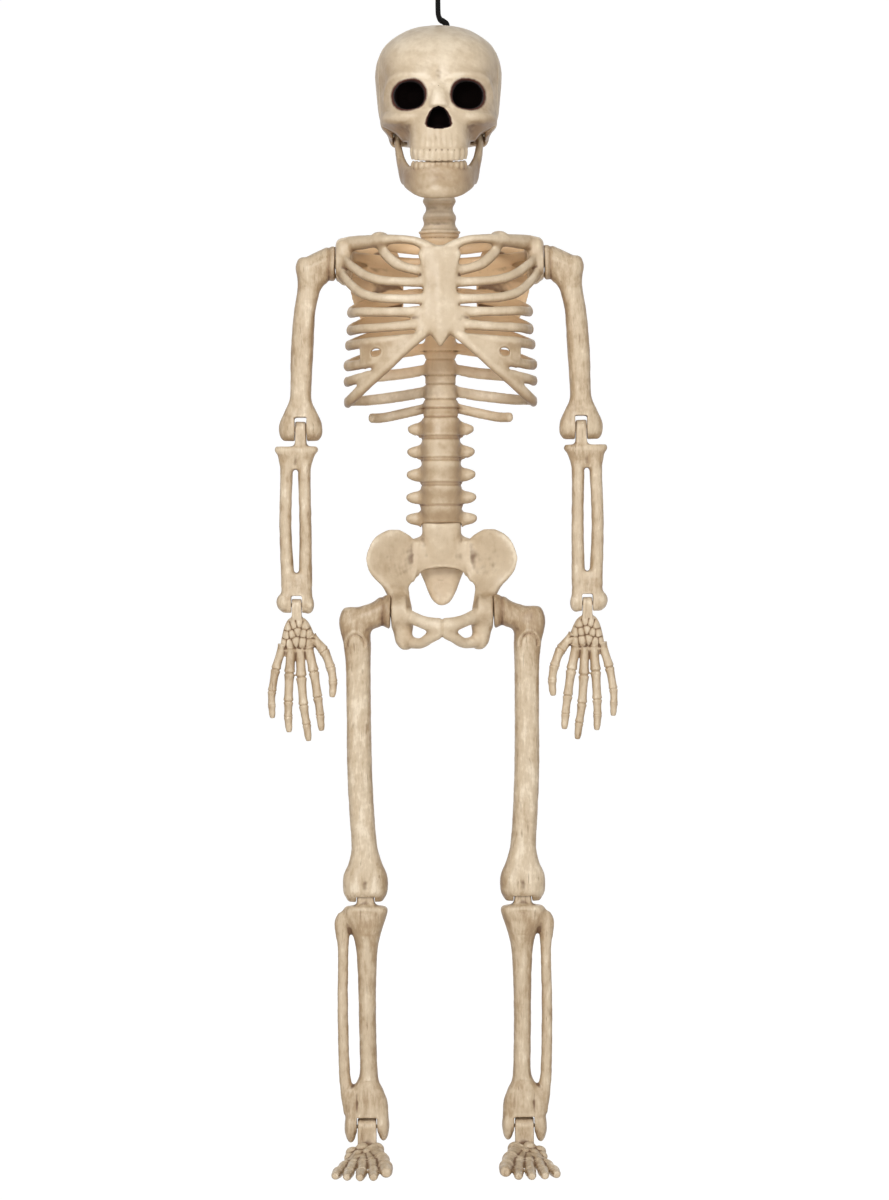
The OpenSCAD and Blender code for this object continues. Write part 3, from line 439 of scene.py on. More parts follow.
def braidedTube(path, d, c):
    # Round tube whose radius follows two sets of strands wound left and right, the upper one showing
    side, rise = carriedFrames(path)
    s = np.concatenate([[0], np.cumsum(np.linalg.norm(np.diff(path, axis=0), axis=1))])[:, None]
    a = (2 * np.pi * np.arange(c["sides"]) / c["sides"])[None]
    turn = 2 * np.pi * s / (c["lay"] * d)
    over = np.maximum(np.cos(c["strands"] / 2 * a + turn), np.cos(c["strands"] / 2 * a - turn))
    r = d / 2 * (1 - c["weave"] / 2 + c["weave"] * 0.5 * over)
    r[[0, -1]] *= c["ends"]
    across, up = (r * np.cos(a))[..., None] * side[:, None], (r * np.sin(a))[..., None] * rise[:, None]
    return skin(path[:, None] + across + up)


cordLine = throughKeys(np.array(hangingCord["route"]) + (0, 0, hangingCord["crown"]), 12)
cord = asObject("hangingCord", [braidedTube(cordLine, hangingCord["diameter"], hangingCord)])
standFor(cord, "skull", "cord", "hanging_cord")

crownKnot = {"middle": (2.4, 7.2, -70.5), "reach": 1.476, "thick": 3.38, "stations": 160}
turn = np.linspace(0, 2 * np.pi, crownKnot["stations"])
# Trefoil: sines of one and two turns for the bights, a sine of three turns for over and under
knotLine = np.stack([np.sin(turn) + 2 * np.sin(2 * turn), np.cos(turn) - 2 * np.cos(2 * turn),
                     -1.2 * np.sin(3 * turn)], -1)
knotLine = knotLine * crownKnot["reach"] + crownKnot["middle"]
knot = asObject("cordKnot", [braidedTube(knotLine, crownKnot["thick"], hangingCord)])
standFor(knot, "skull", "cord", "cord_knot")
for ob in (cord, knot):
    smooth(ob.data)

# Skull: outer and hollow as [depth below the crown, half width, front, back], eyeStations as
# (x, y, less half width, less half height), spots as (push, middle, radii)
skull = {
    "crown": -60.0, "floor": -152.0, "seam": -12.0, "wall": 2.6, "eyeZ": -119.6, "eyeX": 21.8, "eyeW": 25,
    "eyeH": 22, "eyeTilt": 0.13,
    "noseZ": -138.2, "front": -56.0, "hingeY": 2.0, "branchX": 30.0, "branchT": 5.0, "toothCount": 11,
    "voxel": 0.68,
    "outer": [[0, 4, 0, 12], [3, 20, -18, 31], [8, 31, -31, 44], [16, 41, -42, 54], [26, 46.8, -48, 61],
              [36, 49, -51, 65], [44, 49, -52, 66], [54, 48.2, -51.5, 65.5], [64, 47.2, -51.5, 62],
              [72, 46, -51.5, 57], [79, 43.4, -50, 50], [86, 39.6, -46, 44], [92, 34, -40, 38]],
    "hollow": [[0, 4, -1, 14], [3.4, 20, -18, 33], [9.4, 32, -31, 44], [17.4, 40.5, -40, 53],
               [27.4, 45, -44, 59], [37.4, 46, -44, 62], [46, 45.4, -30, 62], [58, 44.4, -27, 59],
               [67, 39, -23, 53], [76, 26, -17, 46], [78, 21, -14, 41]],
    "maxilla": [[0, -33, -124, 17, 15], [0, -34.4, -131, 20.6, 18.4], [0, -36, -139, 22.6, 20],
                [0, -37.4, -147, 23, 20], [0, -38.2, -155, 22.6, 20], [0, -38.6, -161.4, 22, 19.4],
                [0, -39, -168, 19.4, 15.6]],
    "brow": [[3, -47.6, -108.6, 5.4, 4.6], [12, -46.4, -105.8, 6, 5], [24, -41.4, -104, 6, 5],
             [33, -34, -106, 5.6, 4.8], [37.6, -27, -112, 5.2, 4.4], [38.6, -23, -121, 5, 4.2]],
    "cheek": [[12, -46, -134.6, 5, 4.6], [22, -43.6, -136.4, 6.2, 5.8], [31, -37.4, -136.4, 6.6, 6],
              [37.6, -27, -135.6, 6, 5.4], [40.4, -14, -136.6, 4.8, 4.8], [41, 0, -138.6, 4, 4]],
    "nosebone": [[0, -46.6, -106, 7, 5], [0, -48.4, -114, 6.2, 5.2], [0, -51.4, -122, 6.6, 5.2],
                 [0, -52.4, -129.6, 7.4, 4.8]],
    "noseHole": [[-7.6, -7], [-3.4, -6.4], [0, -5], [3.4, -6.4], [7.6, -7], [9.4, -4.6], [8.2, 0.4], [6, 5],
                 [3.4, 7.2], [0, 7.4], [-3.4, 7.2], [-6, 5], [-8.2, 0.4], [-9.4, -4.6]],
    "upperTeeth": [(-1.6, -157, 0.5, 0.5), (-0.4, -160, 0.84, 0.8), (0.6, -162.4, 0.98, 0.9),
                   (1, -165, 1.03, 0.95), (1.05, -168, 1, 0.75), (1, -170.4, 0.92, 0.5),
                   (0.9, -171.6, 0.7, 0.3)],
    "eyeStations": [(2, -20, 0, 0), (1, 2, 0, 0), (0.5, 10, 0, 0), (-2, 19, 3, 2.5), (-3, 24, 7.5, 6.5)],
    "spots": [(-2.2, (46, -22, -104), (9, 15, 16)), (-1.6, (29, -45, -147), (6, 12, 6)),
              (0.8, (13, -53, -101), (10, 12, 5)), (-0.9, (0, -54, -103), (6, 10, 7)),
              (-0.8, (14, -52, -127), (4, 8, 6)), (0.8, (30, -30, -84), (20, 30, 15)),
              (0.7, (40, 36, -84), (20, 26, 18))],
    "brownSpots": [(0.3, (28, -46, -102), (14, 14, 5)), (0.3, (40, -30, -108), (8, 16, 12))]}


def skullLayer(rows, drop):
    top, height = skull["crown"] - drop, skull["crown"] - skull["floor"]
    return [[0, (f + b) / 2, top - z * (height - drop) / height, w, (b - f) / 2] for z, w, f, b in rows]


def prismY(outline, y0, y1):
    # Outline in x and z, rounded by the smooth curve through its corners and carried along Y
    loop = throughKeys(np.array(list(outline) + [outline[0]], float), 5)[:-1]
    rings = [np.stack([loop[:, 0], 0 * loop[:, 0] + y, loop[:, 1]], -1) for y in (y1, y0)]
    return skin(np.stack(rings))


# Tooth row: half turn of its arch in radians, the arch's power,
# a tooth's half width and half depth to its step
toothRow = {"turn": 1.34, "bend": 0.8, "wide": 0.51, "deep": 0.5}


def archTeeth(count, half, depth, middle, heights, lean, smile):
    # Teeth stand side by side at even steps along a superellipse arch, turned with it;
    # the row rises at its ends
    t = toothRow
    a = np.linspace(-t["turn"], t["turn"], 400)
    x = half * np.sign(np.sin(a)) * np.abs(np.sin(a)) ** t["bend"]
    y = middle - depth * np.cos(a) ** t["bend"]
    run = np.concatenate([[0], np.cumsum(np.hypot(np.diff(x), np.diff(y)))])
    step = run[-1] / count
    at = (np.arange(count) + 0.5) * step
    rows = [np.interp(at, run, v) for v in (x, y, np.arctan2(np.gradient(y), np.gradient(x)))]
    out = []
    for tx, ty, turn, ends in zip(*rows, np.abs(at / run[-1] * 2 - 1)):
        keys = [[tx + lean * k * math.sin(turn), ty - lean * k * math.cos(turn), z + smile * ends ** 2,
                 step * t["wide"] * w, step * t["deep"] * d, math.degrees(turn)] for k, z, w, d in heights]
        out.append(lofted(keys, 24, 5, 2.8))
    return out


def skullShapes():
    p = skull
    b, t, f = p["branchX"], p["branchT"] / 2 + 3, p["floor"]
    eye = [[p["eyeX"] + x, p["front"] + y, p["eyeZ"], p["eyeW"] / 2 - w, p["eyeH"] / 2 - h]
           for x, y, w, h in p["eyeStations"]]
    nose = np.array(p["noseHole"]) + (0, p["noseZ"])
    # Room for the jaw's branches under the cheekbones
    room = [[b - t, f - 40], [b - t, f - 4], [b + 2, f + 5], [b + 13, f + 12], [90, f + 12], [90, f - 40]]
    wedge = skin(np.array([[[x, y, z] for x, z in room] for y in (-100.0, p["seam"])]))
    add = [lofted(skullLayer(p["outer"], 0), 72, 8, 2.25), lofted(p["maxilla"], 48, 6, 2.5),
           swept(p["nosebone"], upY, 24, 6, 2.2)]
    add += bothSides([swept(p["brow"]), swept(p["cheek"]), ball(33, 14, -147, 6, 9, 7)])
    teeth = archTeeth(p["toothCount"], 20.2, 16.6, -38.4, p["upperTeeth"], 0.9, 2.8)
    cuts = [[lofted(skullLayer(p["hollow"], p["wall"]), 56, 5, 2.2)],
            bothSides([swept(eye, (p["eyeTilt"], 0, 1), 44, 6, 2.3)]),
            [prismY(nose, p["front"] - 20, p["front"] + 13)], [wedge], [flipped(wedge)],
            bothSides([slab(b - t, b + t, p["seam"] - 1, p["hingeY"] + 9, f - 40, f + 13)]),
            [barZ(7.6, 0, 10, f - 3, f + 40, 40)], [barZ(2.6, 7, y, -75, -50, 24) for y in (2.6, 11.8)]]
    return add, teeth, cuts


def skullRelief(co, normal):
    side = folded(co)
    # Faint upright ridges over the tooth roots
    roots = (0.3 * np.cos(2 * np.pi * co[:, 0] / 4.4) * dab(side, (0, -56, -156), (16, 12, 6))
             * within(-normal[:, 1]))
    return dabs(side, skull["spots"]) + roots


def socketPaint(co, normal):
    # Black paint fills the eye sockets and the nose, and thins out over their rims
    p = skull
    x, z = np.abs(co[:, 0]) - p["eyeX"] - 0.8, co[:, 2] - p["eyeZ"]
    across, up = x - p["eyeTilt"] * z, z + p["eyeTilt"] * x
    eye = (np.abs(across / (p["eyeW"] / 2 + 1.2)) ** 2.3
           + np.abs(up / (p["eyeH"] / 2 + 1.2)) ** 2.3) ** (1 / 2.3)
    # The nose's half width at each height above its middle
    half = np.interp(co[:, 2] - p["noseZ"], [-9, -8, -7, -4.6, 0.4, 5, 7.8, 9],
                     [0.2, 6, 9, 10.4, 9.2, 7, 4.4, 0.2])
    nose = np.abs(co[:, 0]) / half
    out = within((1.12 - np.minimum(eye, nose)) / 0.28)
    return np.where(co[:, 1] < -20, out, 0)


def skullTone(co, normal):
    # Browner at the temples and down the lower face; painted shadow under the cheekbones, and less painted
    # side shade
    side = folded(co)
    cheekShadow = 2.2 * dab(side, (35, -26, -148), (10, 30, 7)) * (normal[:, 2] < 0.4)
    temple, lower = within((side[:, 0] - 28) / 16), within((-116 - co[:, 2]) / 26)
    brownAndShade = 0.06 + 0.12 * temple + 0.32 * lower + cheekShadow + dabs(side, skull["brownSpots"])
    return brownAndShade - 0.25 * np.abs(normal[:, 0]) ** 3


skullAdd, skullTeeth, skullCuts = skullShapes()
face = mould("skullFace", skullAdd, skullCuts + [[slab(-90, 90, skull["seam"] + 0.1, 200, -300, 50)]],
             skull["voxel"], relief=skullRelief, paint=socketPaint, tone=skullTone, rough=0.12, web=90,
             fine=skullTeeth, seamAt=skull["seam"])
cranium = mould("skullBack", skullAdd[:1] + skullAdd[3:],
                skullCuts + [[slab(-90, 90, -200, skull["seam"], -300, 50)]],
                1.1, relief=skullRelief, tone=skullTone, rough=0.12, web=40, seamAt=skull["seam"])
standFor(face, "skull", "bone", "face_shell")
standFor(cranium, "skull", "bone", "cranium_shell")

# Jaw: a bow with the chin in front and a branch up to each hinge
jaw = {"voxel": 0.65,
       "bow": [[27.4, -8, -178, 2.6, 6], [26, -20, -179.4, 3.1, 7.4], [21.6, -34, -182, 3.8, 9.8],
               [13, -46.4, -185, 4.3, 12.6], [0, -50.8, -186, 4.6, 13.2]],
       "branch": [[32.2, 2, -141.6, 2.1, 3.4], [32, 0, -152, 2.4, 6], [30.8, -4, -164, 2.5, 9],
                  [29, -7, -174, 2.5, 11], [27.8, -9, -181, 2.4, 9.6], [27.2, -10, -184.4, 1.7, 6]],
       "slope": [[31, -2, -156, 2.4, 4], [29, -10, -166, 2.6, 5], [26.4, -20, -173.6, 3, 6],
                 [23.6, -30, -179, 3.4, 7]],
       "lowerTeeth": [(0, -181, 0.5, 0.5), (0.3, -178.6, 0.84, 0.8), (0.9, -175.6, 0.98, 0.9),
                      (1, -173, 1, 0.75), (0.95, -171.8, 0.92, 0.5), (0.9, -170.9, 0.7, 0.3)],
       "spots": [(1.5, (0, -56, -193.5), (11, 9, 5)), (0.6, (9, -54, -195), (5, 9, 4)),
                 (-0.7, (0, -56, -184), (10, 8, 4)), (-0.7, (27, -18, -184), (4, 9, 5)),
                 (-0.5, (15, -48, -186), (4, 8, 5))]}


def jawShapes():
    half = jaw["bow"]
    bow = half + [[-k[0]] + k[1:] for k in half[-2::-1]]
    one = [lofted(jaw["branch"], 28, 6, 2.5), swept(jaw["slope"], upZ, 20, 6), barX(10, 27.5, 32.5, 2, -145)]
    return ([swept(bow, upZ, 36, 8, 2.8)] + bothSides(one),
            archTeeth(11, 19.6, 16, -34.8, jaw["lowerTeeth"], 1.2, 1.6))


def jawRelief(co, normal):
    return dabs(folded(co), jaw["spots"])


jawAdd, jawTeeth = jawShapes()
jawPiece = mould("jawBone", jawAdd, (), jaw["voxel"], 2, jawRelief, tone=0.8, rough=0.14, web=50,
                 fine=jawTeeth)
standFor(jawPiece, "jaw", "bone", "jaw")

# Rib cage: ribs as stations [x, y, depth below the cage's top] from the breastbone round to the spine;
# the other bones as lofted and swept take them, from the cage's top
chest = {
    "top": -225.0, "seam": -2.0, "ribH": 7.2, "ribT": 4.6, "voxelFront": 0.8, "voxelBack": 0.85, "armY": 7.0,
    "shoulderX": 81.5, "shoulderDrop": 19.0,
    "ribs": [
        [[12, -32, 28], [22, -32.4, 26.6], [33, -30, 22.4], [42, -24, 14], [46, -18, 5.6], [48, -2, 4],
         [41, 16, 5], [25, 27, 6], [8, 27, 7]],
        [[12, -35, 37], [30, -35.6, 36.6], [46, -32.4, 35], [57, -26, 31], [66, -17, 24.6], [72, -8, 19],
         [74, 3, 15], [66, 17, 13], [48, 32, 15], [26, 37, 17], [8, 34, 18]],
        [[12, -37, 50], [30, -38, 50], [48, -35, 48.6], [60, -28, 44.6], [69, -18, 37], [75, -7, 29],
         [76, 3, 25], [68, 17, 25], [50, 34, 25], [26, 39, 26], [8, 35, 28]],
        [[12, -38, 60], [40, -38.5, 60], [60, -29, 59], [68.6, -8, 58.4], [67, 14, 54], [50, 35, 47],
         [26, 40, 42], [8, 36, 41]],
        [[11, -38.5, 69], [40, -39, 71.5], [60, -29, 72], [69, -8, 72], [67.6, 14, 68], [50, 35, 61],
         [26, 40, 56], [8, 36, 54]],
        [[20, -39, 80], [42, -37.5, 82], [59, -29, 83], [70, -9, 83.6], [69.4, 14, 81], [52, 35, 74],
         [27, 40, 69], [8, 36, 66]],
        [[38, -38, 97], [56, -30.5, 98.5], [70, -10, 99.6], [71.6, 12, 97], [54, 34, 90], [28, 39, 86],
         [8, 35, 83]],
        [[52, -33, 108], [65, -23, 110.4], [71.6, -8, 111.6], [71, 12, 110], [54, 33, 106], [28, 38, 103],
         [8, 34, 100]],
        [[7, -38.5, 71], [22, -40, 84], [39, -38, 99], [56, -30.5, 114], [67, -21, 124], [71.6, -8, 127.4],
         [70.4, 12, 126], [54, 31, 124], [28, 36, 120.5], [8, 32, 117]]],
    "lastRib": [[54, 20, 138.6], [44, 27, 138], [26, 32, 134], [8, 29, 130]],
    "breastbone": [[0, -32.4, -8.4, 7, 2.6], [0, -33, -10.6, 14, 4], [0, -34, -16, 16.4, 4.2],
                   [0, -35.4, -25, 14, 4.2], [0, -37, -38, 13, 4], [0, -38.6, -52, 13.6, 4],
                   [0, -39.4, -62, 14.6, 4], [0, -39.6, -70, 13.6, 3.8], [0, -39.8, -77, 8, 3.4],
                   [0, -40, -83, 3.6, 2.6], [0, -40, -86.4, 1.4, 1.4]],
    "collarBone": [[6, -33, -12, 4, 4.6], [13, -32.8, -7.6, 3.8, 4], [21, -32, -4.6, 3.6, 3.4],
                   [32, -29.6, -3.4, 3.6, 3.4], [44, -24, -3.6, 4, 4.4], [58, -12, -4, 4.4, 5.4],
                   [70, 0, -4.4, 5, 6], [75, 7, -7, 5, 7]],
    "blade": [[53, 35.6, -2.4, 8, 1.6, -10], [52.6, 36.4, -4, 14, 2.2, -10], [52, 37.4, -8, 19.6, 2.6, -10],
              [51, 39.6, -16, 21, 2.8, -10], [50, 41, -28, 22, 2.8, -10], [49, 42, -42, 21, 2.6, -9],
              [47, 42.6, -56, 18, 2.6, -8], [44, 43, -70, 12, 2.6, -6], [42, 42.6, -79, 4, 2, -6]],
    "bladeSpine": [[30, 43, -24, 2.6, 2.6], [50, 46, -18, 3.4, 3], [66, 36, -11, 4, 4],
                   [73.5, 15, -8, 4.6, 5]],
    "web": [[31, -38.8, -88, 2.2, 5], [40, -38, -90, 2.2, 8.6], [50, -34, -91, 2.2, 9],
            [57, -30, -91.4, 2.2, 8.6], [61.4, -27.2, -91.6, 2, 6.6]],
    "webHole": [[0, -3.2], [2.6, -2.2], [3.9, 0.4], [3, 2.6], [0, 3.2], [-2.6, 2.2], [-3.9, -0.4],
                [-3, -2.6]],
    "webHoleAt": (49.4, -90.8),
    "frontGrow": [1.2] + [1.06] * 4 + [1.12] * 3 + [1.26], "spineFlare": [0.4] * 5 + [0.2] * 4}


def ribStrap(keys, grow=1.0, behind=0.0):
    # The strap grows taller where it comes to the spine, and slims before it flares into the breastbone
    h, t = chest["ribH"] / 2 * grow, chest["ribT"] / 2 * grow
    x, y, z = np.array(keys, float).T
    flare = 0.2 * within((18 - x) / 6) - 0.1 * within((34 - x) / 12)
    tall = h * (1 + behind * within((y - 22) / 12) + flare * (y < 0))
    return swept(np.column_stack([x, y, -z, 0 * x + t, tall]), upZ, 20, 7, 2.4)


def ribKnob(keys):
    # Swollen end of a front rib, where its run comes to the seam
    run = throughKeys(np.array(keys, float), 24)
    at = run[np.argmax(run[:, 1] > chest["seam"] - 4)]
    return ball(at[0], at[1] + 0.6, -at[2], 3.3, 4.2, 4.3)


def shoulderBlock():
    # Flat-sided block, round in front, that the arm's disc turns against
    x, y, drop = chest["shoulderX"], chest["armY"], chest["shoulderDrop"]
    tall = [[x - 8, y - 1, 0.6, 3.6, 6], [x - 7.4, y - 1, -3, 6.4, 10.6], [x - 7.3, y - 1, -12, 6.6, 12.6],
            [x - 7.3, y - 1, -24, 6.6, 12.6], [x - 7.6, y - 2, -31, 5.8, 10], [x - 9, y - 4, -36, 3.4, 6]]
    return [barX(27, x - 12.6, x - 0.7, y, -drop), lofted(tall, 32, 6, 3)]


def frontShapes():
    one = [ribStrap(k, g) for k, g in zip(chest["ribs"], chest["frontGrow"])]
    one += [ribKnob(k) for k in chest["ribs"][3:]] + [swept(chest["web"], upZ, 28, 6, 3.4)]
    one += [swept(chest["collarBone"], upZ, 24, 7, 2.2), ball(46, -20, -0.8, 7, 5, 4.2)] + shoulderBlock()
    return lifted([lofted(chest["breastbone"], 40, 7, 2.4)] + bothSides(one), chest["top"])


spine = {"neckLen": 73.0, "neckD": 23.0, "neckY": 10.0, "neckRings": 6, "thick": 24.0, "loinD": 29.6,
         "loinLen": 82.0, "loinRings": 5, "reach": 26.0, "cageH": 139.0,
         "discLines": [8, 4.6, 1.4, -22, -38, -54, -70, -86, -92.5, -105, -112, -124, -131, -138, -153, -155,
                       -170, -172, -189.5, -191.5, -207],
         "chestProcesses": ((-10, 33), (-24, 38), (-38, 42), (-52, 44), (-66, 45), (-80, 44), (-94, 42),
                            (-108, 40), (-122, 37))}


def spineShapes():
    p = spine
    r, high = p["neckD"] / 2, p["neckLen"] - 0.4
    f = np.linspace(0, 1, p["neckRings"] * 24 + 1)
    z, pitch = high * f, high / p["neckRings"]
    # Neck: each vertebra swells by a cosine
    swell = 1 + 0.13 * np.cos(2 * np.pi * (z - pitch / 2) / pitch)
    # It widens to the collar in a smooth step
    collar = within((f - 0.72) / 0.2)
    collar = collar * collar * (3 - 2 * collar)
    neck = np.stack([0 * f, p["neckY"] + 15 * f * f * (3 - 2 * f), high - z, r * (1 + 0.28 * collar) * swell,
                     r * swell], -1)
    d = p["thick"] / 2
    chestPart = [[0, 25, 0.5, r * 1.3, 12], [0, 28, -14, d, 11], [0, 33, -36, d, 11], [0, 35, -64, d, 11],
                 [0, 34, -86, d, 11], [0, 31, -111.2, d, 11.4], [0, 26, -129.3, d * 1.1, 12],
                 [0, 22, -139, p["loinD"] / 2 * 0.92, 12.6]]
    f = np.linspace(0, 1, 121)
    pitch = p["loinLen"] / (p["loinRings"] - 0.4)
    swell = 1 + 0.03 * np.cos(2 * np.pi * p["loinLen"] * f / pitch)
    loin = np.stack([0 * f, 22 - 6 * np.sin(np.pi * f), -p["cageH"] - p["loinLen"] * f,
                     p["loinD"] / 2 * (0.95 + 0.1 * f) * swell, 12.6 * swell], -1)
    out = [lofted(neck, 40, 1), lofted(chestPart, 40, 8), lofted(loin, 44, 1)]
    for i in range(p["loinRings"]):
        z, y = -p["cageH"] - pitch * (0.5 + i), 24 - 6 * math.sin(math.radians(36 * i))
        reach, tall = p["reach"] * (1 + 0.02 * i), 1.0
        if i == p["loinRings"] - 1:
            # The lowest pair is shorter and clears the sacrum
            z, tall = z + 1.4, 0.94
        wing = [[4, y, z, 4, 8.8 * tall], [13.6, y + 1, z, 3.8, 8.4 * tall],
                [17.2, y + 1.4, z + 0.2, 3.6, 6 * tall], [reach - 4.6, y + 2, z + 0.4, 3.2, 4.4],
                [reach - 1.4, y + 3, z + 0.6, 2.6, 2.8], [reach, y + 3, z + 0.6, 1.2, 1.4]]
        out += bothSides([swept(wing, upZ, 24, 6)])
        # Spinous process at the back
        process = [[0, y + 4, z, 3, 5], [0, y + 13, z - 3, 2.2, 4.4], [0, y + 18, z - 5, 1.8, 3]]
        out.append(swept(process, upZ, 20, 5))
    for z, y in p["chestProcesses"]:
        process = [[0, y - 4, z + 2, 2.8, 4.6], [0, y + 3, z - 1, 2.4, 4], [0, y + 7.5, z - 5, 1.8, 2.6]]
        out.append(swept(process, upZ, 20, 5))
    return out


def backShapes():
    one = [ribStrap(k, 1.06, flare) for k, flare in zip(chest["ribs"], chest["spineFlare"])]
    x, y, depth = chest["lastRib"][0]
    one += [ribStrap(chest["lastRib"], 1.12), ball(x, y, -depth, 2.8, 2.6, 3.9)]
    one += [lofted(chest["blade"], 40, 7, 2.6), swept(chest["bladeSpine"], upZ, 24, 7)]
    one += [swept(chest["collarBone"], upZ, 24, 7, 2.2)] + shoulderBlock()
    return lifted(spineShapes() + bothSides(one), chest["top"]) + [barZ(7.5, 0, 10, -153.4, -138.4, 36)]


def frontRelief(co, normal):
    # Breastbone: a soft ridge down its middle with shallow hollows beside it
    z = co[:, 2] - chest["top"]
    middle = (normal[:, 1] < -0.3) * (np.abs(co[:, 0]) < 20)
    ridge = 0.5 * bell(co[:, 0], 4) - 0.5 * bell(np.abs(co[:, 0]) - 8, 4)
    return middle * ridge * within((-z - 12) / 20)


def backRelief(co, normal):
    # Thin grooves between the vertebrae, on the column alone
    z = co[:, 2] - chest["top"]
    column = (np.abs(co[:, 0]) < 20) * (normal[:, 1] < 0.6)
    cuts = sum(bell(z - line, 0.7) for line in spine["discLines"])
    return -0.9 * column * within(cuts)


def backTone(co, normal):
    # Dark lines in the grooves between the vertebrae; the loin is browner than the ribs; undersides take
    # painted shade
    z = co[:, 2] - chest["top"]
    column = (np.abs(co[:, 0]) < 17) * (normal[:, 1] < 0.3) * np.where(z < -100, normal[:, 1] < -0.2, True)
    cuts = sum(bell(z - line, 0.65) for line in spine["discLines"])
    return 0.24 + 0.44 * within((-118 - z) / 20) + 0.5 * column * within(cuts) + 0.35 * within(-normal[:, 2])


def cageInsideShade(co, normal):
    # Painted shade in tan: deep in the cage and on surfaces facing its inside
    z = co[:, 2] - chest["top"]
    cage = within((8 - z) / 10) * within((z + 118) / 40)
    return within(1.25 * cage * within((co[:, 1] - 1) / 24) * within(0.45 - normal[:, 1]))


def frontTone(co, normal):
    # Breastbone and upper rib fronts are the palest; the glaze thickens down and outwards; undersides take
    # painted shade
    z = co[:, 2] - chest["top"]
    outward, down = within((np.abs(co[:, 0]) - 16) / 30), within((-70 - z) / 40)
    return 0.28 + 0.2 * outward + 0.2 * down + 0.9 * within(-normal[:, 2])


def frontInsideShade(co, normal):
    # Painted shade on the front shell's faces that turn back into the cage
    return np.clip(normal[:, 1] * 0.5, 0, 0.4)


seam = chest["seam"]
holeAt = np.array(chest["webHoleAt"]) + (0, chest["top"])
webHole = prismY(np.array(chest["webHole"])[::-1] * (1, -1) + holeAt, -60, -12)
chestCuts = [[slab(-200, 200, seam - 0.1, 200, -600, 100)], bothSides([webHole])]
chestPiece = mould("chestFront", frontShapes(), chestCuts, chest["voxelFront"], relief=frontRelief,
                   shade=frontInsideShade, tone=frontTone, rough=0.12, web=36)
standFor(chestPiece, "torso", "bone", "chest_front")
# In front of the seam everything goes but the neck; the column ends flat on the sacrum
backCuts = [[slab(-200, 200, -200, -6, -364.5, -140)], [slab(-200, 200, -7, seam, -364.5, -230)],
            bothSides([slab(17, 200, -7, seam, -231, -140)]), [slab(-15.6, 15.6, -200, 200, -520, -446)]]
backPiece = mould("spineAndBack", backShapes(), backCuts, chest["voxelBack"], relief=backRelief,
                  shade=cageInsideShade, tone=backTone, rough=0.12, web=34)
standFor(backPiece, "torso", "bone", "spine_and_back")

# Pelvis: wings from the sacrum out and forward, hip blocks, pubic and seat bones,
# from the hip joint's height; sacrum, ala, ridge, arch and tail from the sacrum's top
pelvis = {
    "hipZ": -515.0, "sacrumZ": -446.0, "hipX": 40.0, "backPlane": 30.0, "voxel": 0.8,
    "wing": [[37, 10, 64, 5, 2.2, -32], [37.4, 10, 59, 15.5, 3.2, -32], [36.8, 11, 51, 23, 3.2, -33],
             [36, 12, 42, 27, 3, -33], [35.6, 12, 33, 25.4, 3.4, -32], [36.4, 10, 26, 18, 4.6, -28],
             [36, 7, 20, 11, 6, -20], [34, 4, 13, 8.8, 7.4, -12], [32, 2, 4, 8.4, 8.2, -6],
             [31, 0, -8, 8.6, 8.2, 0], [30.4, 0, -18, 7, 7.2, 0], [29.6, 0, -24, 6.4, 6.2, 0],
             [28.6, 0, -28, 4.4, 4, 0], [28.4, 0, -29.6, 2, 2, 0]],
    "sacrum": [[0, 22, 0, 15.4, 10], [0, 22, -12, 15, 10], [0, 22.6, -22, 14.4, 9.4], [0, 24, -30, 14, 8],
               [0, 27, -36.6, 13.4, 5], [0, 29, -42, 12.4, 2], [0, 29.9, -46, 10, 0.8]],
    "ala": [[0, 24, -10.6, 18, 5], [0, 23.4, -15, 27, 6.6], [0, 23, -26, 32, 7], [0, 23.4, -36, 30, 6.6],
            [0, 25, -41, 26, 4]],
    "ridge": [[18.8, 19, -14, 3, 3.4], [19.6, 18.4, -26, 3.6, 3.6], [21.4, 18, -36, 3.6, 3.4],
              [25, 15, -45, 3.4, 3]],
    "pubisTop": [[31, -3, -2, 6, 7], [20, -12, -6, 4.6, 5], [10, -18, -9.6, 5, 5.6], [-1, -20, -12, 5, 7.4]],
    "pubisLow": [[-1, -20, -14, 4.6, 5.4], [8, -17, -19, 4, 4.8], [17, -9, -24.4, 4, 4.2],
                 [27, -1, -23, 5, 5]],
    "arch": [[18, -54], [18, -41], [15, -37], [8, -35], [0, -34.4], [-8, -35], [-15, -37], [-18, -41],
             [-18, -54]],
    "tail": [[0, 33, -10, 17, 5], [0, 35, -14, 20, 6.6], [0, 36, -28, 20, 7], [0, 36, -37, 17.4, 6.6],
             [0, 35, -46, 13.8, 5.4], [0, 33.6, -55, 10.2, 4.6], [0, 32, -60.4, 7.2, 3.6],
             [0, 31, -63, 4.2, 2.4], [0, 30.6, -64, 2, 1.4]]}


def pelvisShapes():
    p = pelvis
    one = [lofted(p["wing"], 44, 7, 2.3), barX(26, p["hipX"] - 12, p["hipX"] - 0.6)]
    one += [swept(p[k], upZ, 24, 7) for k in ("pubisTop", "pubisLow")]
    middle = ([lofted(p[k], 44, 7, 2.5) for k in ("sacrum", "ala")]
              + bothSides([swept(p["ridge"], upY, 20, 6)]))
    return lifted(bothSides(one), p["hipZ"]) + lifted(middle, p["sacrumZ"])


def pelvisRelief(co, normal):
    # Hollow wings, a swelling down the sacrum and a groove where the pubic bones meet
    side, front = folded(co), within(-normal[:, 1])
    bowl = -1.6 * dab(side, (38, 0, -476), (15, 30, 17)) * front
    sacrum = 0.5 * dab(side, (0, 10, -462), (8, 20, 22)) * front
    return bowl + sacrum - bell(co[:, 0], 1.2) * (co[:, 2] < -515) * (co[:, 1] < -10)


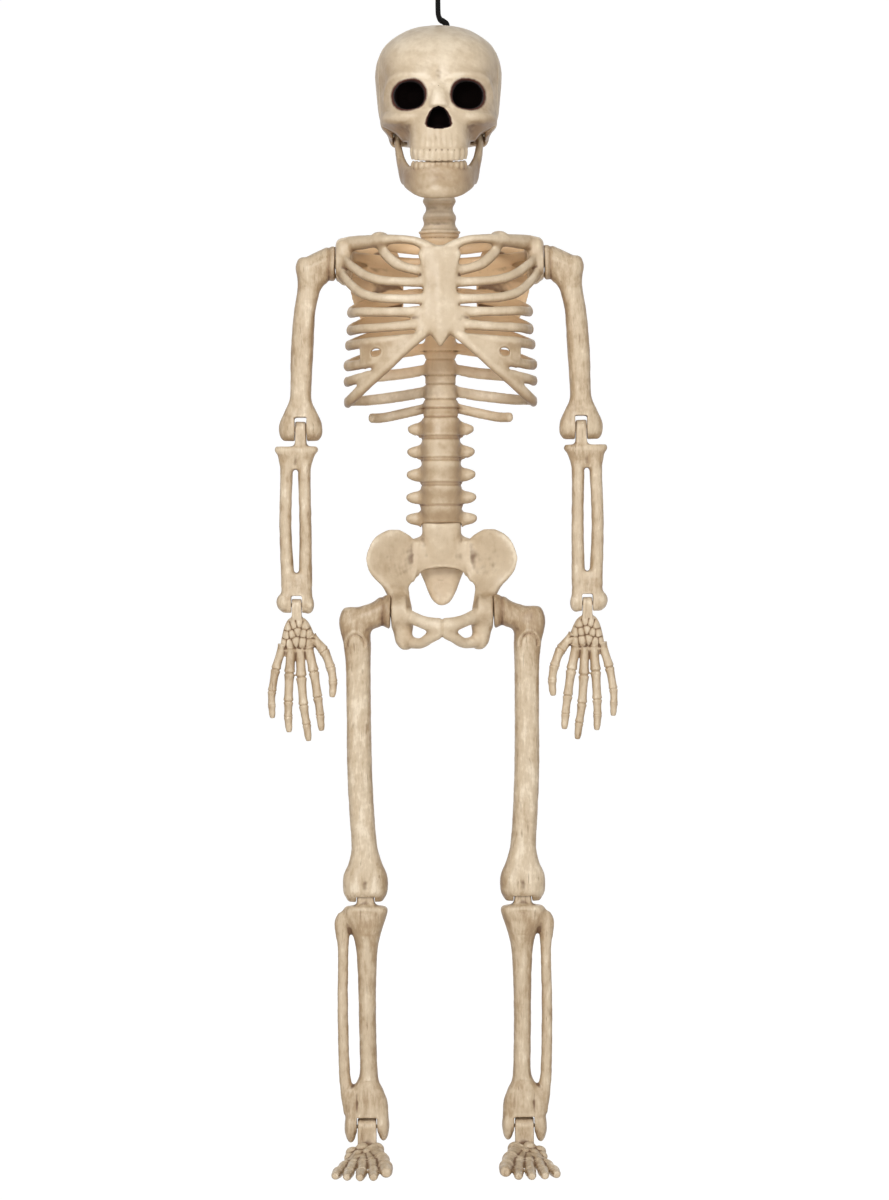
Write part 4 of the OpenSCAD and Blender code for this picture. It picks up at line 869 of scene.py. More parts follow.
def pelvisTone(co, normal):
    # Brown round the hip's face and under the wing
    return 0.34 + dabs(folded(co), [(0.8, (40, 0, -515), (4, 16, 15)), (0.35, (33, -4, -505), (8, 14, 14))])


def tailRelief(co, normal):
    # Shallow bands where the sacrum's vertebrae have grown together
    z = co[:, 2] - pelvis["sacrumZ"]
    return -0.5 * sum(bell(z - line, 1.1) for line in (-22, -33))


# The sacrum's lower edge is an arch, under which the tail's flat front shows
archCut = prismY(np.array(pelvis["arch"]) + (0, pelvis["sacrumZ"]), -20, 60)
pelvisCuts = [[slab(-60, 60, pelvis["backPlane"], 90, -492, -445)], [archCut]]
pelvisPiece = mould("pelvisFront", pelvisShapes(), pelvisCuts, pelvis["voxel"], relief=pelvisRelief,
                    tone=pelvisTone, rough=0.12, web=70)
standFor(pelvisPiece, "torso", "bone", "pelvis_front")
tailPiece = mould("sacrumBack", lifted([lofted(pelvis["tail"], 44, 7, 2.4)], pelvis["sacrumZ"]),
                  [[slab(-60, 60, -10, pelvis["backPlane"], -492, -445)]], pelvis["voxel"], relief=tailRelief,
                  tone=0.42)
standFor(tailPiece, "torso", "bone", "pelvis_back")

# Limbs are drawn for the figure's left, from their own joint, and mirrored
limbJoint = {j["name"]: np.array(j["pos_m"]) / mm for j in frame["joints"]}


def tongue(width, r, reach):
    # Round end on the hinge with a straight root, a quarter of a millimetre less on each side than the width
    w = width / 2 - 0.25
    return [barX(2 * r, -w, w), slab(-w, w, -r, r, -reach - 4, 0)]


def forkSlot(width, x, z, top, front=-40.0):
    # Room between a fork's cheeks, half a millimetre more on each side than the width
    half = width / 2 + 0.5
    return [slab(x - half, x + half, front, 40.0, z - 40, z + top)]


def limbPair(name, body, joint, add, cut=(), voxel=0.8, soft=3, relief=None, tone=0.0, rough=0.14, web=24,
             fine=()):
    at = limbJoint[joint + "_left"]
    place = lambda shapes: [moved(s, at) for s in shapes]
    local = (lambda co, normal: relief(co - at, normal)) if relief else None
    left = mould(name + "Left", place(add), [place(c) for c in cut], voxel, soft, local, tone=tone,
                 rough=rough, web=web,
                 fine=place(fine))
    for ob, side in ((left, "left"), (otherSide(left, name + "Right"), "right")):
        standFor(ob, f"{body}_{side}", "bone", f"{name}_{side}")


upperArm = {
    "length": 128.0, "out": 27.5, "tongue": 8.6, "voxel": 0.75,
    "disc": [[0, 0, 0, 11.4, 13.5], [3, 0, 0, 11.4, 13.5], [9, 0, -1, 10.4, 12], [20, 0, -3, 9, 9]],
    "strut": [[3, 0, -3, 9, 9], [8, 0, -6.2, 8.6, 8.6], [15, 0, -12.6, 7.6, 8], [20.6, 0, -25, 6.6, 7.2],
              [24, 0, -42, 5.2, 6]],
    "shaft": [[21, 0, 5, 5, 5], [20.6, 0, 3, 8, 8], [19.6, 0, -4, 10, 10], [19.2, 0, -13, 9.8, 9.6],
              [20.8, 0, -22, 8.8, 9], [23.6, 0, -36, 8.4, 8.5], [25, 0, -52, 8.6, 8.5],
              [26.1, 0, -70.4, 8.8, 8.5], [27, 0, -94.7, 8.2, 8], [27.5, 0, -106, 8.7, 8.2],
              [27.5, 0, -115, 12.6, 8.5], [27.5, 0, -123, 16.2, 9.3], [27.5, 0, -129, 17, 9.5],
              [27.5, 0, -134, 16.2, 8.1], [27.5, 0, -137.6, 13.6, 4.7]],
    "spots": [(1.0, (29, -3, -3), (6, 9, 7)), (0.7, (17, -9, -40), (5, 5, 18)),
              (-1.0, (25, -10, -18), (9, 6, 3.4)), (-1.1, (27.5, -9, -113), (6, 6, 6)),
              (0.5, (27.5, -10, -127), (14, 5, 6))]}


def humerusRelief(co, normal):
    x, _, z = co.T
    # A slanted ridge runs from the disc down to the shaft
    ridge = 0.7 * bell(z - 2 + 0.45 * (x - 8), 1.8) * bell(x - 13, 6) * (normal[:, 1] < 0)
    neckRing = -0.8 * bell(x - 4.6, 1.4) * (np.abs(z) < 16)
    return dabs(co, upperArm["spots"]) + ridge + neckRing


def humerusTone(co, normal):
    # Browner beside the shoulder's disc and along the elbow's lower edge
    x, _, z = (co - limbJoint["shoulder_left"]).T
    return 0.54 + 0.5 * bell(x - 4, 4) * (z > -18) + 0.4 * within((-131 - z) / 5)


armShapes = [swept(upperArm["disc"], upZ, 48, 6, 2.2), lofted(upperArm["shaft"], 40, 7, 2.2),
             swept(upperArm["strut"], upY, 32, 6)]
limbPair("humerus", "upper_arm", "shoulder", armShapes,
         [forkSlot(upperArm["tongue"], upperArm["out"], -upperArm["length"], 8.6)], upperArm["voxel"],
         relief=humerusRelief, tone=humerusTone)

foreArm = {
    "length": 137.0, "out": 4.0, "reach": 14.0, "tongue": 7.6, "voxel": 0.65,
    "plate": [[3.4, 0, -14, 16, 6.4], [3.4, 0, -17, 17, 7.4], [3.6, 0, -21, 14.4, 7], [4, 0, -27, 12.8, 5.6],
              [4, 0, -31.6, 11.7, 4.6]],
    "knobs": [[14, -0.6, -135, 5.8, 7, 7.2], [-4.8, 0, -136.6, 4.8, 6.6, 7.4]],
    "wrist": [[4, 0, -113, 11, 4.4], [4, 0, -119, 11.6, 5.6], [4, 0, -127, 12, 6.4], [4, 0, -136, 12.6, 6.8],
              [4, 0, -141, 12.4, 5.6], [4, 0, -143, 10.6, 3.6]],
    "spots": [(-0.9, (4, -8, -24), (3, 5, 6)), (-0.8, (4, -8, -120), (3, 5, 9)),
              (0.6, (14, -6, -136), (4, 5, 5)), (0.5, (-7, -6, -136), (4, 5, 5))]}


def foreArmBone(k):
    # One of the two bones, k = -1 or 1, bowed a little away from the other
    h, r = 7.0, 5.2
    return lofted([[4 + k * h, 0, -26, r, r], [4.4 + k * h, 0, -40, r * 0.94, r],
                   [4.6 + k * (h + 0.8), 0, -75.4, r * 0.92, r], [4 + k * h, 0, -113, r, r],
                   [4 + k * h, 0, -123, r, r]], 28, 8)


def foreArmRelief(co, normal):
    return dabs(co, foreArm["spots"])


foreArmShapes = tongue(9.0, 5.4, foreArm["reach"]) + [lofted(foreArm["plate"], 44, 6, 2.6), foreArmBone(-1)]
foreArmShapes += [foreArmBone(1), lofted(foreArm["wrist"], 40, 6, 2.5)] + [ball(*k) for k in foreArm["knobs"]]
limbPair("forearm", "forearm", "elbow", foreArmShapes,
         [forkSlot(foreArm["tongue"], foreArm["out"], -foreArm["length"], 7)], foreArm["voxel"],
         relief=foreArmRelief, tone=0.5)

# Hand: fingers as stations [x, depth below the wrist], x away from the body; carpals as [x, depth]
hand = {
    "reach": 11.6, "thick": 8.8, "voxel": 0.45,
    "palm": [[0, 0, -10.4, 6, 3.8], [-0.4, 0, -14, 9, 4.6], [-0.8, 0, -21, 11.8, 5], [-0.6, 0, -28, 13, 4.8],
             [-0.2, 0, -33, 13, 4.2], [0, 0, -37, 12.4, 2.8], [0.4, 0, -40, 11, 1.8]],
    "carpals": [[-6.6, 16], [-2, 14.4], [2.6, 15.4], [7, 17], [-10, 22.6], [-5.4, 22], [-0.6, 20.8],
                [3.8, 22.8], [8.6, 23.4], [-10.4, 30], [-4.4, 29], [1, 28.2], [6, 30], [11, 29.6]],
    "fingers": [[[-11, 25], [-20.8, 36], [-26, 49], [-27.8, 60], [-27, 72]],
                [[-8.6, 33], [-12.8, 52], [-15.8, 72], [-17.6, 86], [-18.6, 98]],
                [[-2.4, 34], [-3.2, 56], [-4.8, 78], [-7, 93], [-8.6, 106]],
                [[4.4, 33], [6, 53], [7, 75], [7.2, 87], [6.6, 99]],
                [[10.8, 31], [16.6, 50], [19.6, 67], [20, 78], [19.4, 88]]],
    "girth": [1.06, 1.04, 1.04, 1.04, 0.94]}


# Small bones: girth at the waist, flare at the ends, depth and width of the groove at a joint, girth of the
# tip and how much it rises from there
boneChain = {"waist": 0.84, "flare": 0.3, "groove": 0.44, "grooveWidth": 0.034, "tip": 0.32, "tipRise": 0.68}


def knuckled(keys, thick, taper, flat):
    # Chain of small bones: each swells at its two ends, with a narrow groove at the joint between two
    b, last = boneChain, len(keys) - 1
    run = throughKeys(keys, 40)
    f = np.linspace(0, last, len(run))
    t = f - np.floor(f)
    bone = b["waist"] + b["flare"] * np.abs(2 * t - 1) ** 3.4
    near = np.minimum(t, 1 - t) * np.clip(f, 0, 0.4) / 0.4
    bone -= b["groove"] * bell(near, b["grooveWidth"]) * (f > 0.5) * (f < last - 0.3)
    end = within((last - f) / 0.4)
    r = thick * bone * (1 - taper * f / last) * (b["tip"] + b["tipRise"] * np.sqrt(end))
    return np.column_stack([run[:, :3], r, np.minimum(r * flat, np.maximum(run[:, 3], 0.4))])


def handShapes():
    p = hand
    fine = []
    for keys, girth in zip(p["fingers"], p["girth"]):
        run = knuckled([[x, 0, -z, 99] for x, z in keys], p["thick"] / 2 * girth, 0.3, 0.95)
        fine.append(swept(run, upY, 20, 1))
    return tongue(8.0, 4.6, p["reach"]) + [lofted(p["palm"], 40, 6, 2.5)], fine


def handRelief(co, normal):
    # Carpals: each point belongs to the nearest one, and a groove runs where the two nearest are equally near
    x, _, z = co.T
    at = np.array(hand["carpals"])
    far = np.sort(np.hypot(co[:, :1] - at[:, 0], co[:, 2:] + at[:, 1]), axis=1)
    palm = within((z + 35.4) / 2) * within((-11 - z) / 2) * within((15.4 - np.abs(x)) / 1.4)
    palm = palm * within(2 * np.abs(normal[:, 1]))
    return palm * (0.5 - 1.2 * bell(far[:, 1] - far[:, 0], 0.9) - 0.05 * far[:, 0] ** 2)


handBase, handFine = handShapes()
limbPair("hand", "hand", "wrist", handBase, (), hand["voxel"], 1, handRelief, 0.56, 0.08, 20, handFine)

thigh = {
    "length": 213.0, "out": 21.0, "tongue": 13.4, "voxel": 0.85,
    "disc": [[0, 0, 0, 11.4, 13], [4, 0, 0, 11.4, 13], [9, 0, -1.4, 10, 10.6], [14, 0, -3, 9.4, 10],
             [27, 0, -7, 9, 10]],
    "shaft": [[30, 0, 4, 4, 4], [29.6, 0, 2, 7.6, 7.4], [28.6, 0, -5, 10.6, 10], [27.4, 0, -14, 11.4, 10.6],
              [26, 0, -26, 10.6, 10.4], [25.4, 0, -42, 9.7, 9.7], [25.2, 0, -76.7, 9.5, 9.5],
              [24.8, 0, -123.5, 9.7, 9.7], [23, 0, -161.9, 9.7, 9.7], [21.6, 0, -181, 10, 9.7],
              [21, 0, -194, 12.8, 10.3], [21, 0, -204, 17, 11.7], [21, 0, -213, 17.5, 12.3],
              [21, 0, -219, 16.6, 11.1], [21, 0, -224.6, 13, 5.8]],
    "spots": [(0.9, (36, 0, -8), (6, 9, 8)), (-0.9, (20, -9, -17), (6, 5, 5)),
              (0.8, (22, -8, -32), (5, 5, 9)), (-1.6, (21, -13, -213), (4.6, 7, 11)),
              (0.6, (12, -11, -212), (5, 6, 8)), (0.6, (30, -11, -212), (5, 6, 8))]}


def femurRelief(co, normal):
    x, _, z = co.T
    # An arched line under the trochanter: a raised rim with a groove inside it
    arch = np.hypot((x - 27) / 7.6, (z + 25) / 9)
    line = 0.7 * bell(arch - 1.1, 0.1) - 0.8 * bell(arch - 0.86, 0.1)
    line = np.where((z > -27) & (normal[:, 1] < -0.1), line, 0)
    ridge = 0.5 * bell(x - 25, 4) * (normal[:, 1] > 0.2) * (z < -30) * (z > -180)
    neckRing = -0.9 * bell(x - 6.5, 1.8) * (np.abs(z) < 16)
    return dabs(co, thigh["spots"]) + line + ridge + neckRing


def femurTone(co, normal):
    # Browner round the hip and under the knee's lobes
    x, _, z = (co - limbJoint["hip_left"]).T
    return 0.26 + 0.62 * within((z + 46) / 34) + 0.6 * bell(x - 5, 4) + 0.4 * within((-216 - z) / 6)


limbPair("femur", "thigh", "hip", [swept(thigh["disc"], upZ, 48, 6, 2.1), lofted(thigh["shaft"], 44, 7, 2.2)],
         [forkSlot(thigh["tongue"], thigh["out"], -thigh["length"], 10.4, -8.6)], thigh["voxel"],
         relief=femurRelief, tone=femurTone)

lowerLeg = {
    "length": 186.0, "reach": 15.0, "tongue": 15.0, "voxel": 0.75,
    "tibia": [[0, 0, -15, 15, 10], [0, 0, -18, 17.4, 11.4], [0.4, 0, -25, 16, 11], [-0.6, 0, -35, 11.6, 9.8],
              [-0.8, 0, -49, 8.4, 7.7], [-0.8, 0, -78.1, 7, 7], [-1, 0, -111.6, 6.7, 7],
              [-1.6, 0, -142, 6.9, 7], [-1, 0, -151, 8.6, 7.7], [0, 0, -158, 13, 8.4], [0, 0, -167, 16, 9.2],
              [0, 0, -180, 16.8, 9.2], [0, 0, -186, 15.4, 7.4], [0, 0, -189, 12, 4]],
    "prongs": [[12.7, 0, -186, 4.7, 8.2, 12.6], [-12.7, 0, -185, 4.6, 8.2, 12.2]],
    "fibula": [[17, 0, -20, 4.2, 4.2], [18, 0, -27, 6.3, 5.9], [18, 0, -37, 5.5, 5], [17.6, 0, -51, 4.2, 4.2],
               [18.2, 0, -93, 4.2, 4.2], [17.4, 0, -139.5, 4.4, 4.2], [15.6, 0, -158, 5, 4.8],
               [13.2, 0, -176, 5, 5]],
    "bridge": [[6, 0, -25, 7, 6], [18, 0, -29, 4.6, 5.4]],
    "spots": [(0.9, (-1, -10, -33), (6, 6, 8)), (-0.8, (0, -12, -20), (9, 6, 2.4)),
              (-1.3, (8, -9, -166), (2.4, 6, 12)), (0.8, (14, -8, -184), (4, 6, 12)),
              (0.6, (-13, -8, -184), (4, 6, 12))]}


def shinRelief(co, normal):
    x, _, z = co.T
    # A blunt edge runs down the front
    edge = 0.9 * bell(x + 1, 3.2) * (normal[:, 1] < -0.2) * (z < -38) * (z > -150)
    return dabs(co, lowerLeg["spots"]) + edge


shinShapes = tongue(13.4, 7, lowerLeg["reach"]) + [lofted(lowerLeg["tibia"], 44, 7, 2.3)]
shinShapes += [lofted(lowerLeg["fibula"], 28, 7), swept(lowerLeg["bridge"], upZ, 24, 4)]
shinShapes += [ball(*k) for k in lowerLeg["prongs"]]
limbPair("shin", "shin", "knee", shinShapes, [forkSlot(lowerLeg["tongue"], 0, -lowerLeg["length"], 7.3)],
         lowerLeg["voxel"], relief=shinRelief, tone=0.62)

# Foot: toes as stations [x, y, height above the sole], x outward; tarsal knobs as [x, y, height, radius]
foot = {
    "height": 33.0, "toeOut": 2.0, "voxel": 0.55, "tongue": 15.0,
    "heel": [[0, 27, 9, 5, 6], [0, 24, 9, 8.4, 8.8], [0, 12, 9.4, 9.4, 9.2], [0, 0, 10, 9.4, 10],
             [0, -12, 10.4, 11.6, 8.6], [0, -24, 10, 13, 7], [0, -33, 9, 13.6, 5], [0, -38, 8.4, 13, 3]],
    "tarsals": [[-8, -14, 17, 6], [3, -13, 17, 5.6], [10.6, -13, 14, 5.6], [-9.4, -23, 15, 5.4],
                [-2, -24, 15, 5], [5.4, -23, 13.6, 5], [12, -21, 11.4, 4.8]],
    "toes": [[[-5, -20, 15], [-13.4, -42, 12.4], [-17, -60, 9], [-18.6, -77, 7.4]],
             [[-2, -22, 14], [-6.4, -46, 10.4], [-8.4, -66, 6.6], [-9, -85, 5]],
             [[1.4, -22, 13], [0.8, -45, 9.4], [1, -64, 6], [1.2, -84, 4.8]],
             [[5, -20, 12], [8.6, -42, 8.4], [10.8, -61, 5.6], [11.4, -80, 4.6]],
             [[8, -16, 10], [15.4, -38, 7], [19.4, -55, 5], [20.8, -72, 4.4]]],
    "girth": [6.4, 4.8, 4.8, 4.7, 4.7]}


def footShapes():
    p = foot
    fine = [ball(x, y, z, r, r * 1.1, r * 0.9) for x, y, z, r in p["tarsals"]]
    for keys, girth in zip(p["toes"], p["girth"]):
        fine.append(swept(knuckled([[x, y, z, z] for x, y, z in keys], girth, 0.12, 1.0), upZ, 20, 1))
    w = p["tongue"] / 2 - 0.25
    place = lambda shapes: [turnedZ(moved(s, (0, 0, -p["height"])), p["toeOut"]) for s in shapes]
    return ([barX(13, -w, w), slab(-w, w, -6, 6, -20, 0)] + place([swept(p["heel"], upZ, 36, 6, 2.4)]),
            place(fine))


footBase, footFine = footShapes()
limbPair("foot", "foot", "ankle", footBase, (), foot["voxel"], 1, None, 0.56, 0.1, 24, footFine)

# Finishes, with painted shade in the bone's colour


class Nodes:
    # Short way to place and join shader nodes in one tree
    def __init__(self, tree):
        self.tree = tree
        tree.nodes.clear()

    def add(self, kind, **values):
        node = self.tree.nodes.new(kind)
        for key, value in values.items():
            setattr(node, key, value)
        return node

    def join(self, a, b):
        self.tree.links.new(a, b)

    def put(self, socket, value):
        # A number or a colour is set on the socket, and another socket is joined to it
        if isinstance(value, (int, float)):
            socket.default_value = value
        elif isinstance(value, tuple):
            socket.default_value = (*value, 1)
        else:
            self.join(value, socket)

    def math(self, how, a, b, clamp=False):
        node = self.add("ShaderNodeMath", operation=how, use_clamp=clamp)
        self.put(node.inputs[0], a)
        self.put(node.inputs[1], b)
        return node.outputs[0]

    def plus(self, a, b):
        return self.math("ADD", a, b)

    def times(self, a, b):
        return self.math("MULTIPLY", a, b)

    def mix(self, share, a, b):
        node = self.add("ShaderNodeMix", data_type="RGBA")
        for i, value in ((0, share), (6, a), (7, b)):
            self.put(node.inputs[i], value)
        return node.outputs[2]

    def place(self):
        return self.add("ShaderNodeTexCoord").outputs["Object"]

    def layer(self, name):
        return self.add("ShaderNodeAttribute", attribute_name=name).outputs["Fac"]

    def noise(self, place, scale, detail=4.0, rough=0.55, stretch=None):
        if stretch:
            turn = self.add("ShaderNodeMapping")
            turn.inputs["Scale"].default_value = stretch
            self.join(place, turn.inputs["Vector"])
            place = turn.outputs[0]
        node = self.add("ShaderNodeTexNoise")
        for name, value in (("Scale", scale), ("Detail", detail), ("Roughness", rough), ("Vector", place)):
            self.put(node.inputs[name], value)
        return node.outputs[0]

    def band(self, value, low, high):
        # 0 below low, 1 above high, smooth between
        node = self.add("ShaderNodeMapRange", interpolation_type="SMOOTHSTEP", clamp=True)
        for name, given in (("From Min", low), ("From Max", high), ("Value", value)):
            self.put(node.inputs[name], given)
        return node.outputs[0]


# Bone colours; two of them paint shade: one in tan deep inside the cage, one in brown in hollows
boneAndShadeColours = {"pale": (0.84, 0.71, 0.535), "ivory": (0.64, 0.505, 0.345), "tan": (0.43, 0.30, 0.175),
              "umber": (0.25, 0.145, 0.072), "innerShade": (0.80, 0.55, 0.31),
              "brownAndShade": (0.14, 0.07, 0.032), "rim": (0.075, 0.018, 0.01), "black": (0.0015, 0.001, 0.001)}


def agedBoneAndShade():
    # Worn painted bone: brown glaze rubbed thin along the grain, with painted shade and brown wash in
    # hollows, bare on ridges, scratched and specked; painted shade in tan deep inside the rib cage
    group = bpy.data.node_groups.new("agedBoneAndShade", "ShaderNodeTree")
    for name in ("Washshade", "Shade", "Tone", "Streak"):
        group.interface.new_socket(name, in_out="INPUT", socket_type="NodeSocketFloat")
    for name, kind in (("Color", "NodeSocketColor"), ("Roughness", "NodeSocketFloat"),
                       ("Height", "NodeSocketFloat")):
        group.interface.new_socket(name, in_out="OUTPUT", socket_type=kind)
    n, f = Nodes(group), boneAndShadeColours
    given, out = n.add("NodeGroupInput").outputs, n.add("NodeGroupOutput").inputs
    place = n.place()
    cloud, mottle, speck = n.noise(place, 34, 5), n.noise(place, 120, 5, 0.6), n.noise(place, 900, 3, 0.6)
    streak = n.noise(place, 230, 6, 0.7, (1, 1, 0.24))
    scratch = n.noise(place, 560, 3, 0.5, (1, 1, 0.12))
    uneven = lambda source, size: n.times(n.math("SUBTRACT", source, 0.5), size)
    # How much glaze is left: the piece's tone, with its painted shade on sides and undersides, plus noise
    # along the grain, in clouds and in mottles
    glazeAndShade = n.plus(given["Tone"], uneven(streak, n.times(given["Streak"], 2.2)))
    glazeAndShade = n.plus(glazeAndShade, n.plus(uneven(cloud, 1.3), uneven(mottle, 0.8)))
    glazeAndShade = n.math("SUBTRACT", glazeAndShade, n.times(n.band(given["Washshade"], 0.4, 0.1), 0.25))
    color = n.mix(n.band(glazeAndShade, -0.2, 0.36), f["pale"], f["ivory"])
    color = n.mix(n.band(glazeAndShade, 0.3, 1.05), color, f["tan"])
    color = n.mix(n.times(n.band(glazeAndShade, 0.9, 1.7), 0.8), color, f["umber"])
    # Painted shade deep inside the rib cage, in tan
    color = n.mix(n.times(given["Shade"], 0.85), color, f["innerShade"])
    line = n.times(n.times(n.band(scratch, 0.6, 0.72), n.band(cloud, 0.42, 0.6)),
                   n.times(given["Streak"], 0.6))
    color = n.mix(line, color, f["umber"])
    # Painted shade and brown wash in hollows and creases, in brown
    hollow = n.times(n.band(n.plus(given["Washshade"], uneven(mottle, 0.13)), 0.57, 0.88), 0.9)
    color = n.mix(hollow, color, f["brownAndShade"])
    color = n.mix(n.times(n.band(speck, 0.6, 0.78), 0.25), color, f["tan"])
    n.join(color, out["Color"])
    n.join(n.plus(0.33, n.plus(n.times(mottle, 0.16), n.times(hollow, 0.2))), out["Roughness"])
    n.join(n.plus(n.times(speck, 0.35), n.plus(n.times(mottle, 0.5), n.times(line, -0.9))), out["Height"])
    return group


def newMaterial(name):
    material = bpy.data.materials.new(name)
    material.use_nodes = True
    n = Nodes(material.node_tree)
    shader, out = n.add("ShaderNodeBsdfPrincipled"), n.add("ShaderNodeOutputMaterial")
    n.join(shader.outputs[0], out.inputs["Surface"])
    return material, n, shader.inputs


def bumped(n, shader, height, strength, distance):
    bump = n.add("ShaderNodeBump")
    for name, value in (("Strength", strength), ("Distance", distance), ("Height", height)):
        n.put(bump.inputs[name], value)
    n.join(bump.outputs[0], shader["Normal"])


boneGroup = agedBoneAndShade()


def boneMaterial(name, streak, painted):
    material, n, shader = newMaterial(name)
    wornAndShaded = n.add("ShaderNodeGroup", node_tree=boneGroup)
    n.put(wornAndShaded.inputs["Streak"], streak)
    for layer in ("washshade", "shade", "tone"):
        n.join(n.layer(layer), wornAndShaded.inputs[layer.capitalize()])
    color, rough = wornAndShaded.outputs["Color"], wornAndShaded.outputs["Roughness"]
    if painted:
        paint = n.layer("paint")
        uneven = n.math("SUBTRACT", n.noise(n.place(), 260, 4), 0.5)
        paint = n.plus(paint, n.times(uneven, n.times(n.band(paint, 0.02, 0.3), 0.35)))
        color = n.mix(n.band(paint, 0.08, 0.6), color, boneAndShadeColours["rim"])
        color = n.mix(n.band(paint, 0.6, 1.0), color, boneAndShadeColours["black"])
        rough = n.plus(rough, n.times(n.band(paint, 0.2, 0.6), 0.45))
    n.join(color, shader["Base Color"])
    n.join(rough, shader["Roughness"])
    n.put(shader["IOR"], 1.46)
    bumped(n, shader, wornAndShaded.outputs["Height"], 0.35, 0.0004)
    return material


def socketMaterial():
    material, n, shader = newMaterial("socketBlack")
    dust = n.times(n.noise(n.place(), 500, 3), 0.03)
    n.join(n.mix(dust, boneAndShadeColours["black"], boneAndShadeColours["rim"]), shader["Base Color"])
    n.put(shader["Roughness"], 0.85)
    n.put(shader["Specular IOR Level"], 0.03)
    return material


def grainMaterial(name, grain, dark, light, rough, bump, fixed):
    # Colour and roughness follow one noise, given as noise() takes it; fixed holds plain socket values
    material, n, shader = newMaterial(name)
    grain = n.noise(n.place(), *grain)
    n.join(n.mix(grain, dark, light), shader["Base Color"])
    n.join(n.plus(rough[0], n.times(grain, rough[1])), shader["Roughness"])
    for socket, value in fixed.items():
        n.put(shader[socket], value)
    bumped(n, shader, grain, *bump)
    return material


skullBone = boneMaterial("skullBone", 0.1, True)
limbBone = boneMaterial("limbBone", 1.0, False)
trunkBone = boneMaterial("trunkBone", 0.16, False)
socketBlack = socketMaterial()
blackCord = grainMaterial("blackCord", (1400, 4), (0.001, 0.001, 0.001), (0.006, 0.0055, 0.005), (0.6, 0.3),
                          (0.5, 0.0003), {"Specular IOR Level": 0.12})
zincSteel = grainMaterial("zincSteel", (700, 4, 0.6, (1, 1, 6)), (0.42, 0.42, 0.40), (0.66, 0.66, 0.63),
                          (0.28, 0.2), (0.2, 0.0002), {"Metallic": 1.0})


def dress(ob, material):
    ob.data.materials.clear()
    ob.data.materials.append(material)


def paintSockets(mesh):
    # Faces that lie wholly in the sockets' paint take the matt black
    mesh.materials.append(socketBlack)
    paint = np.empty(len(mesh.vertices), np.float32)
    corner, first = np.empty(len(mesh.loops), np.int32), np.empty(len(mesh.polygons), np.int32)
    mesh.attributes["paint"].data.foreach_get("value", paint)
    mesh.loops.foreach_get("vertex_index", corner)
    mesh.polygons.foreach_get("loop_start", first)
    inside = np.minimum.reduceat(paint[corner], first) > 0.97
    mesh.polygons.foreach_set("material_index", inside.astype(np.int32))
    mesh.update()


for ob in list(bpy.context.scene.objects):
    if ob.type != "MESH":
        continue
    if ob.get("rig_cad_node"):
        if not ob.hide_render:
            dress(ob, zincSteel if ob.name.startswith("neck_") else limbBone)
    elif ob.name in ("hangingCord", "cordKnot"):
        dress(ob, blackCord)
    elif ob.name.startswith(("skull", "jaw")):
        dress(ob, skullBone)
    else:
        dress(ob, trunkBone if ob.name in ("chestFront", "spineAndBack", "pelvisFront", "sacrumBack")
              else limbBone)
paintSockets(face.data)
print("finishes: bone, sockets, cord and steel")

# Stage: a pale floor that runs up into a backdrop, soft lamps, even light all round
stageSet = {"floor": -1.0, "half": 9.0, "back": 8.0, "bend": 0.8, "rise": 4.0}


def backdropSheet():
    # Profile in y and z: flat, a quarter turn, then straight up; carried across X
    a = np.linspace(0, np.pi / 2, 24)
    p = stageSet
    y = np.concatenate([[-p["half"]], p["back"] + p["bend"] * np.sin(a), [p["back"] + p["bend"]]])
    z = np.concatenate([[0], p["bend"] * (1 - np.cos(a)), [p["rise"]]]) + p["floor"]
    n = len(y)
    points = np.array([[x, yy, zz] for x in (-p["half"], p["half"]) for yy, zz in zip(y, z)])
    i = np.arange(n - 1)
    mesh = bpy.data.meshes.new("backdrop")
    mesh.from_pydata(points.tolist(), [], np.stack([i, i + n, i + n + 1, i + 1], -1).tolist())
    smooth(mesh)
    return inScene("backdrop", mesh)


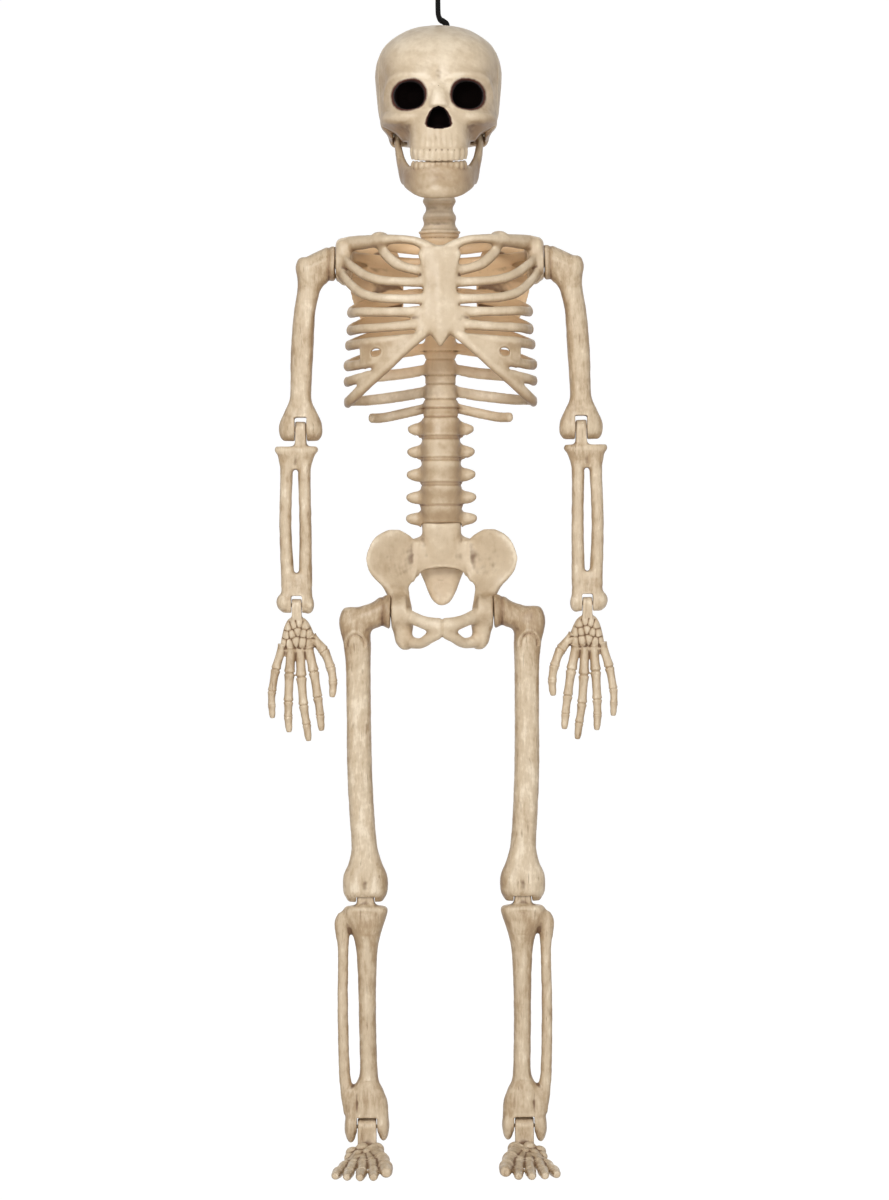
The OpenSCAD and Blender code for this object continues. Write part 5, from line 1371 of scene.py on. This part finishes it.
def seenLight(n, hidden, shown, kind, share):
    # The shown shader for what the camera sees straight or in a reflection,
    # the hidden one for all other light
    path = n.add("ShaderNodeLightPath").outputs
    blend, out = n.add("ShaderNodeMixShader"), n.add(kind)
    seen = n.math("ADD", path["Is Camera Ray"], path["Is Glossy Ray"], True)
    n.join(n.times(seen, share), blend.inputs[0])
    n.join(hidden.outputs[0], blend.inputs[1])
    n.join(shown.outputs[0], blend.inputs[2])
    n.join(blend.outputs[0], out.inputs["Surface"])


def paperMaterial():
    # White to the camera and in reflections, with most of the light its own,
    # so that a soft shadow still shows
    material = bpy.data.materials.new("whitePaper")
    material.use_nodes = True
    n = Nodes(material.node_tree)
    diffuse, glow = n.add("ShaderNodeBsdfDiffuse"), n.add("ShaderNodeEmission")
    n.put(diffuse.inputs["Color"], (0.86, 0.86, 0.86))
    n.put(glow.inputs["Strength"], 1.06)
    seenLight(n, diffuse, glow, "ShaderNodeOutputMaterial", 0.95)
    return material


backdrop = backdropSheet()
dress(backdrop, paperMaterial())

world = bpy.data.worlds.new("studio")
bpy.context.scene.world = world
world.use_nodes = True
sky = Nodes(world.node_tree)
plain, shown = sky.add("ShaderNodeBackground"), sky.add("ShaderNodeBackground")
for node, strength in ((plain, 0.15), (shown, 1.0)):
    sky.put(node.inputs["Color"], (1, 1, 1))
    sky.put(node.inputs["Strength"], strength)
seenLight(sky, plain, shown, "ShaderNodeOutputWorld", 1.0)

# Lamps as (name, place, size, watts), all turned to the figure's middle
lamps = [("keyLamp", (-0.9, -2.8, 0.8), 1.2, 51), ("fillLamp", (1.5, -2.6, 0.0), 1.6, 21),
         ("lowLamp", (-0.2, -3.0, -0.8), 1.4, 10),
         ("backLamp", (0.2, 3.2, 0.4), 1.2, 60), ("leftLamp", (-3.2, 0.3, 0.4), 1.6, 10),
         ("rightLamp", (3.2, 0.3, 0.4), 1.6, 8)]
for name, place, size, power in lamps:
    light = bpy.data.lights.new(name, "AREA")
    light.shape, light.size, light.energy = "DISK", size, power
    lamp = inScene(name, light)
    lamp.location = place
    lamp.rotation_euler = (Vector((0, 0, -0.5)) - Vector(place)).to_track_quat("-Z", "Y").to_euler()
    # The lamp behind lights edges softly, without a glare on surfaces seen at a slant
    lamp.visible_glossy = name != "backLamp"
bpy.context.scene.view_settings.view_transform = "Standard"
print("stage: backdrop and", len(lamps), "lamps")
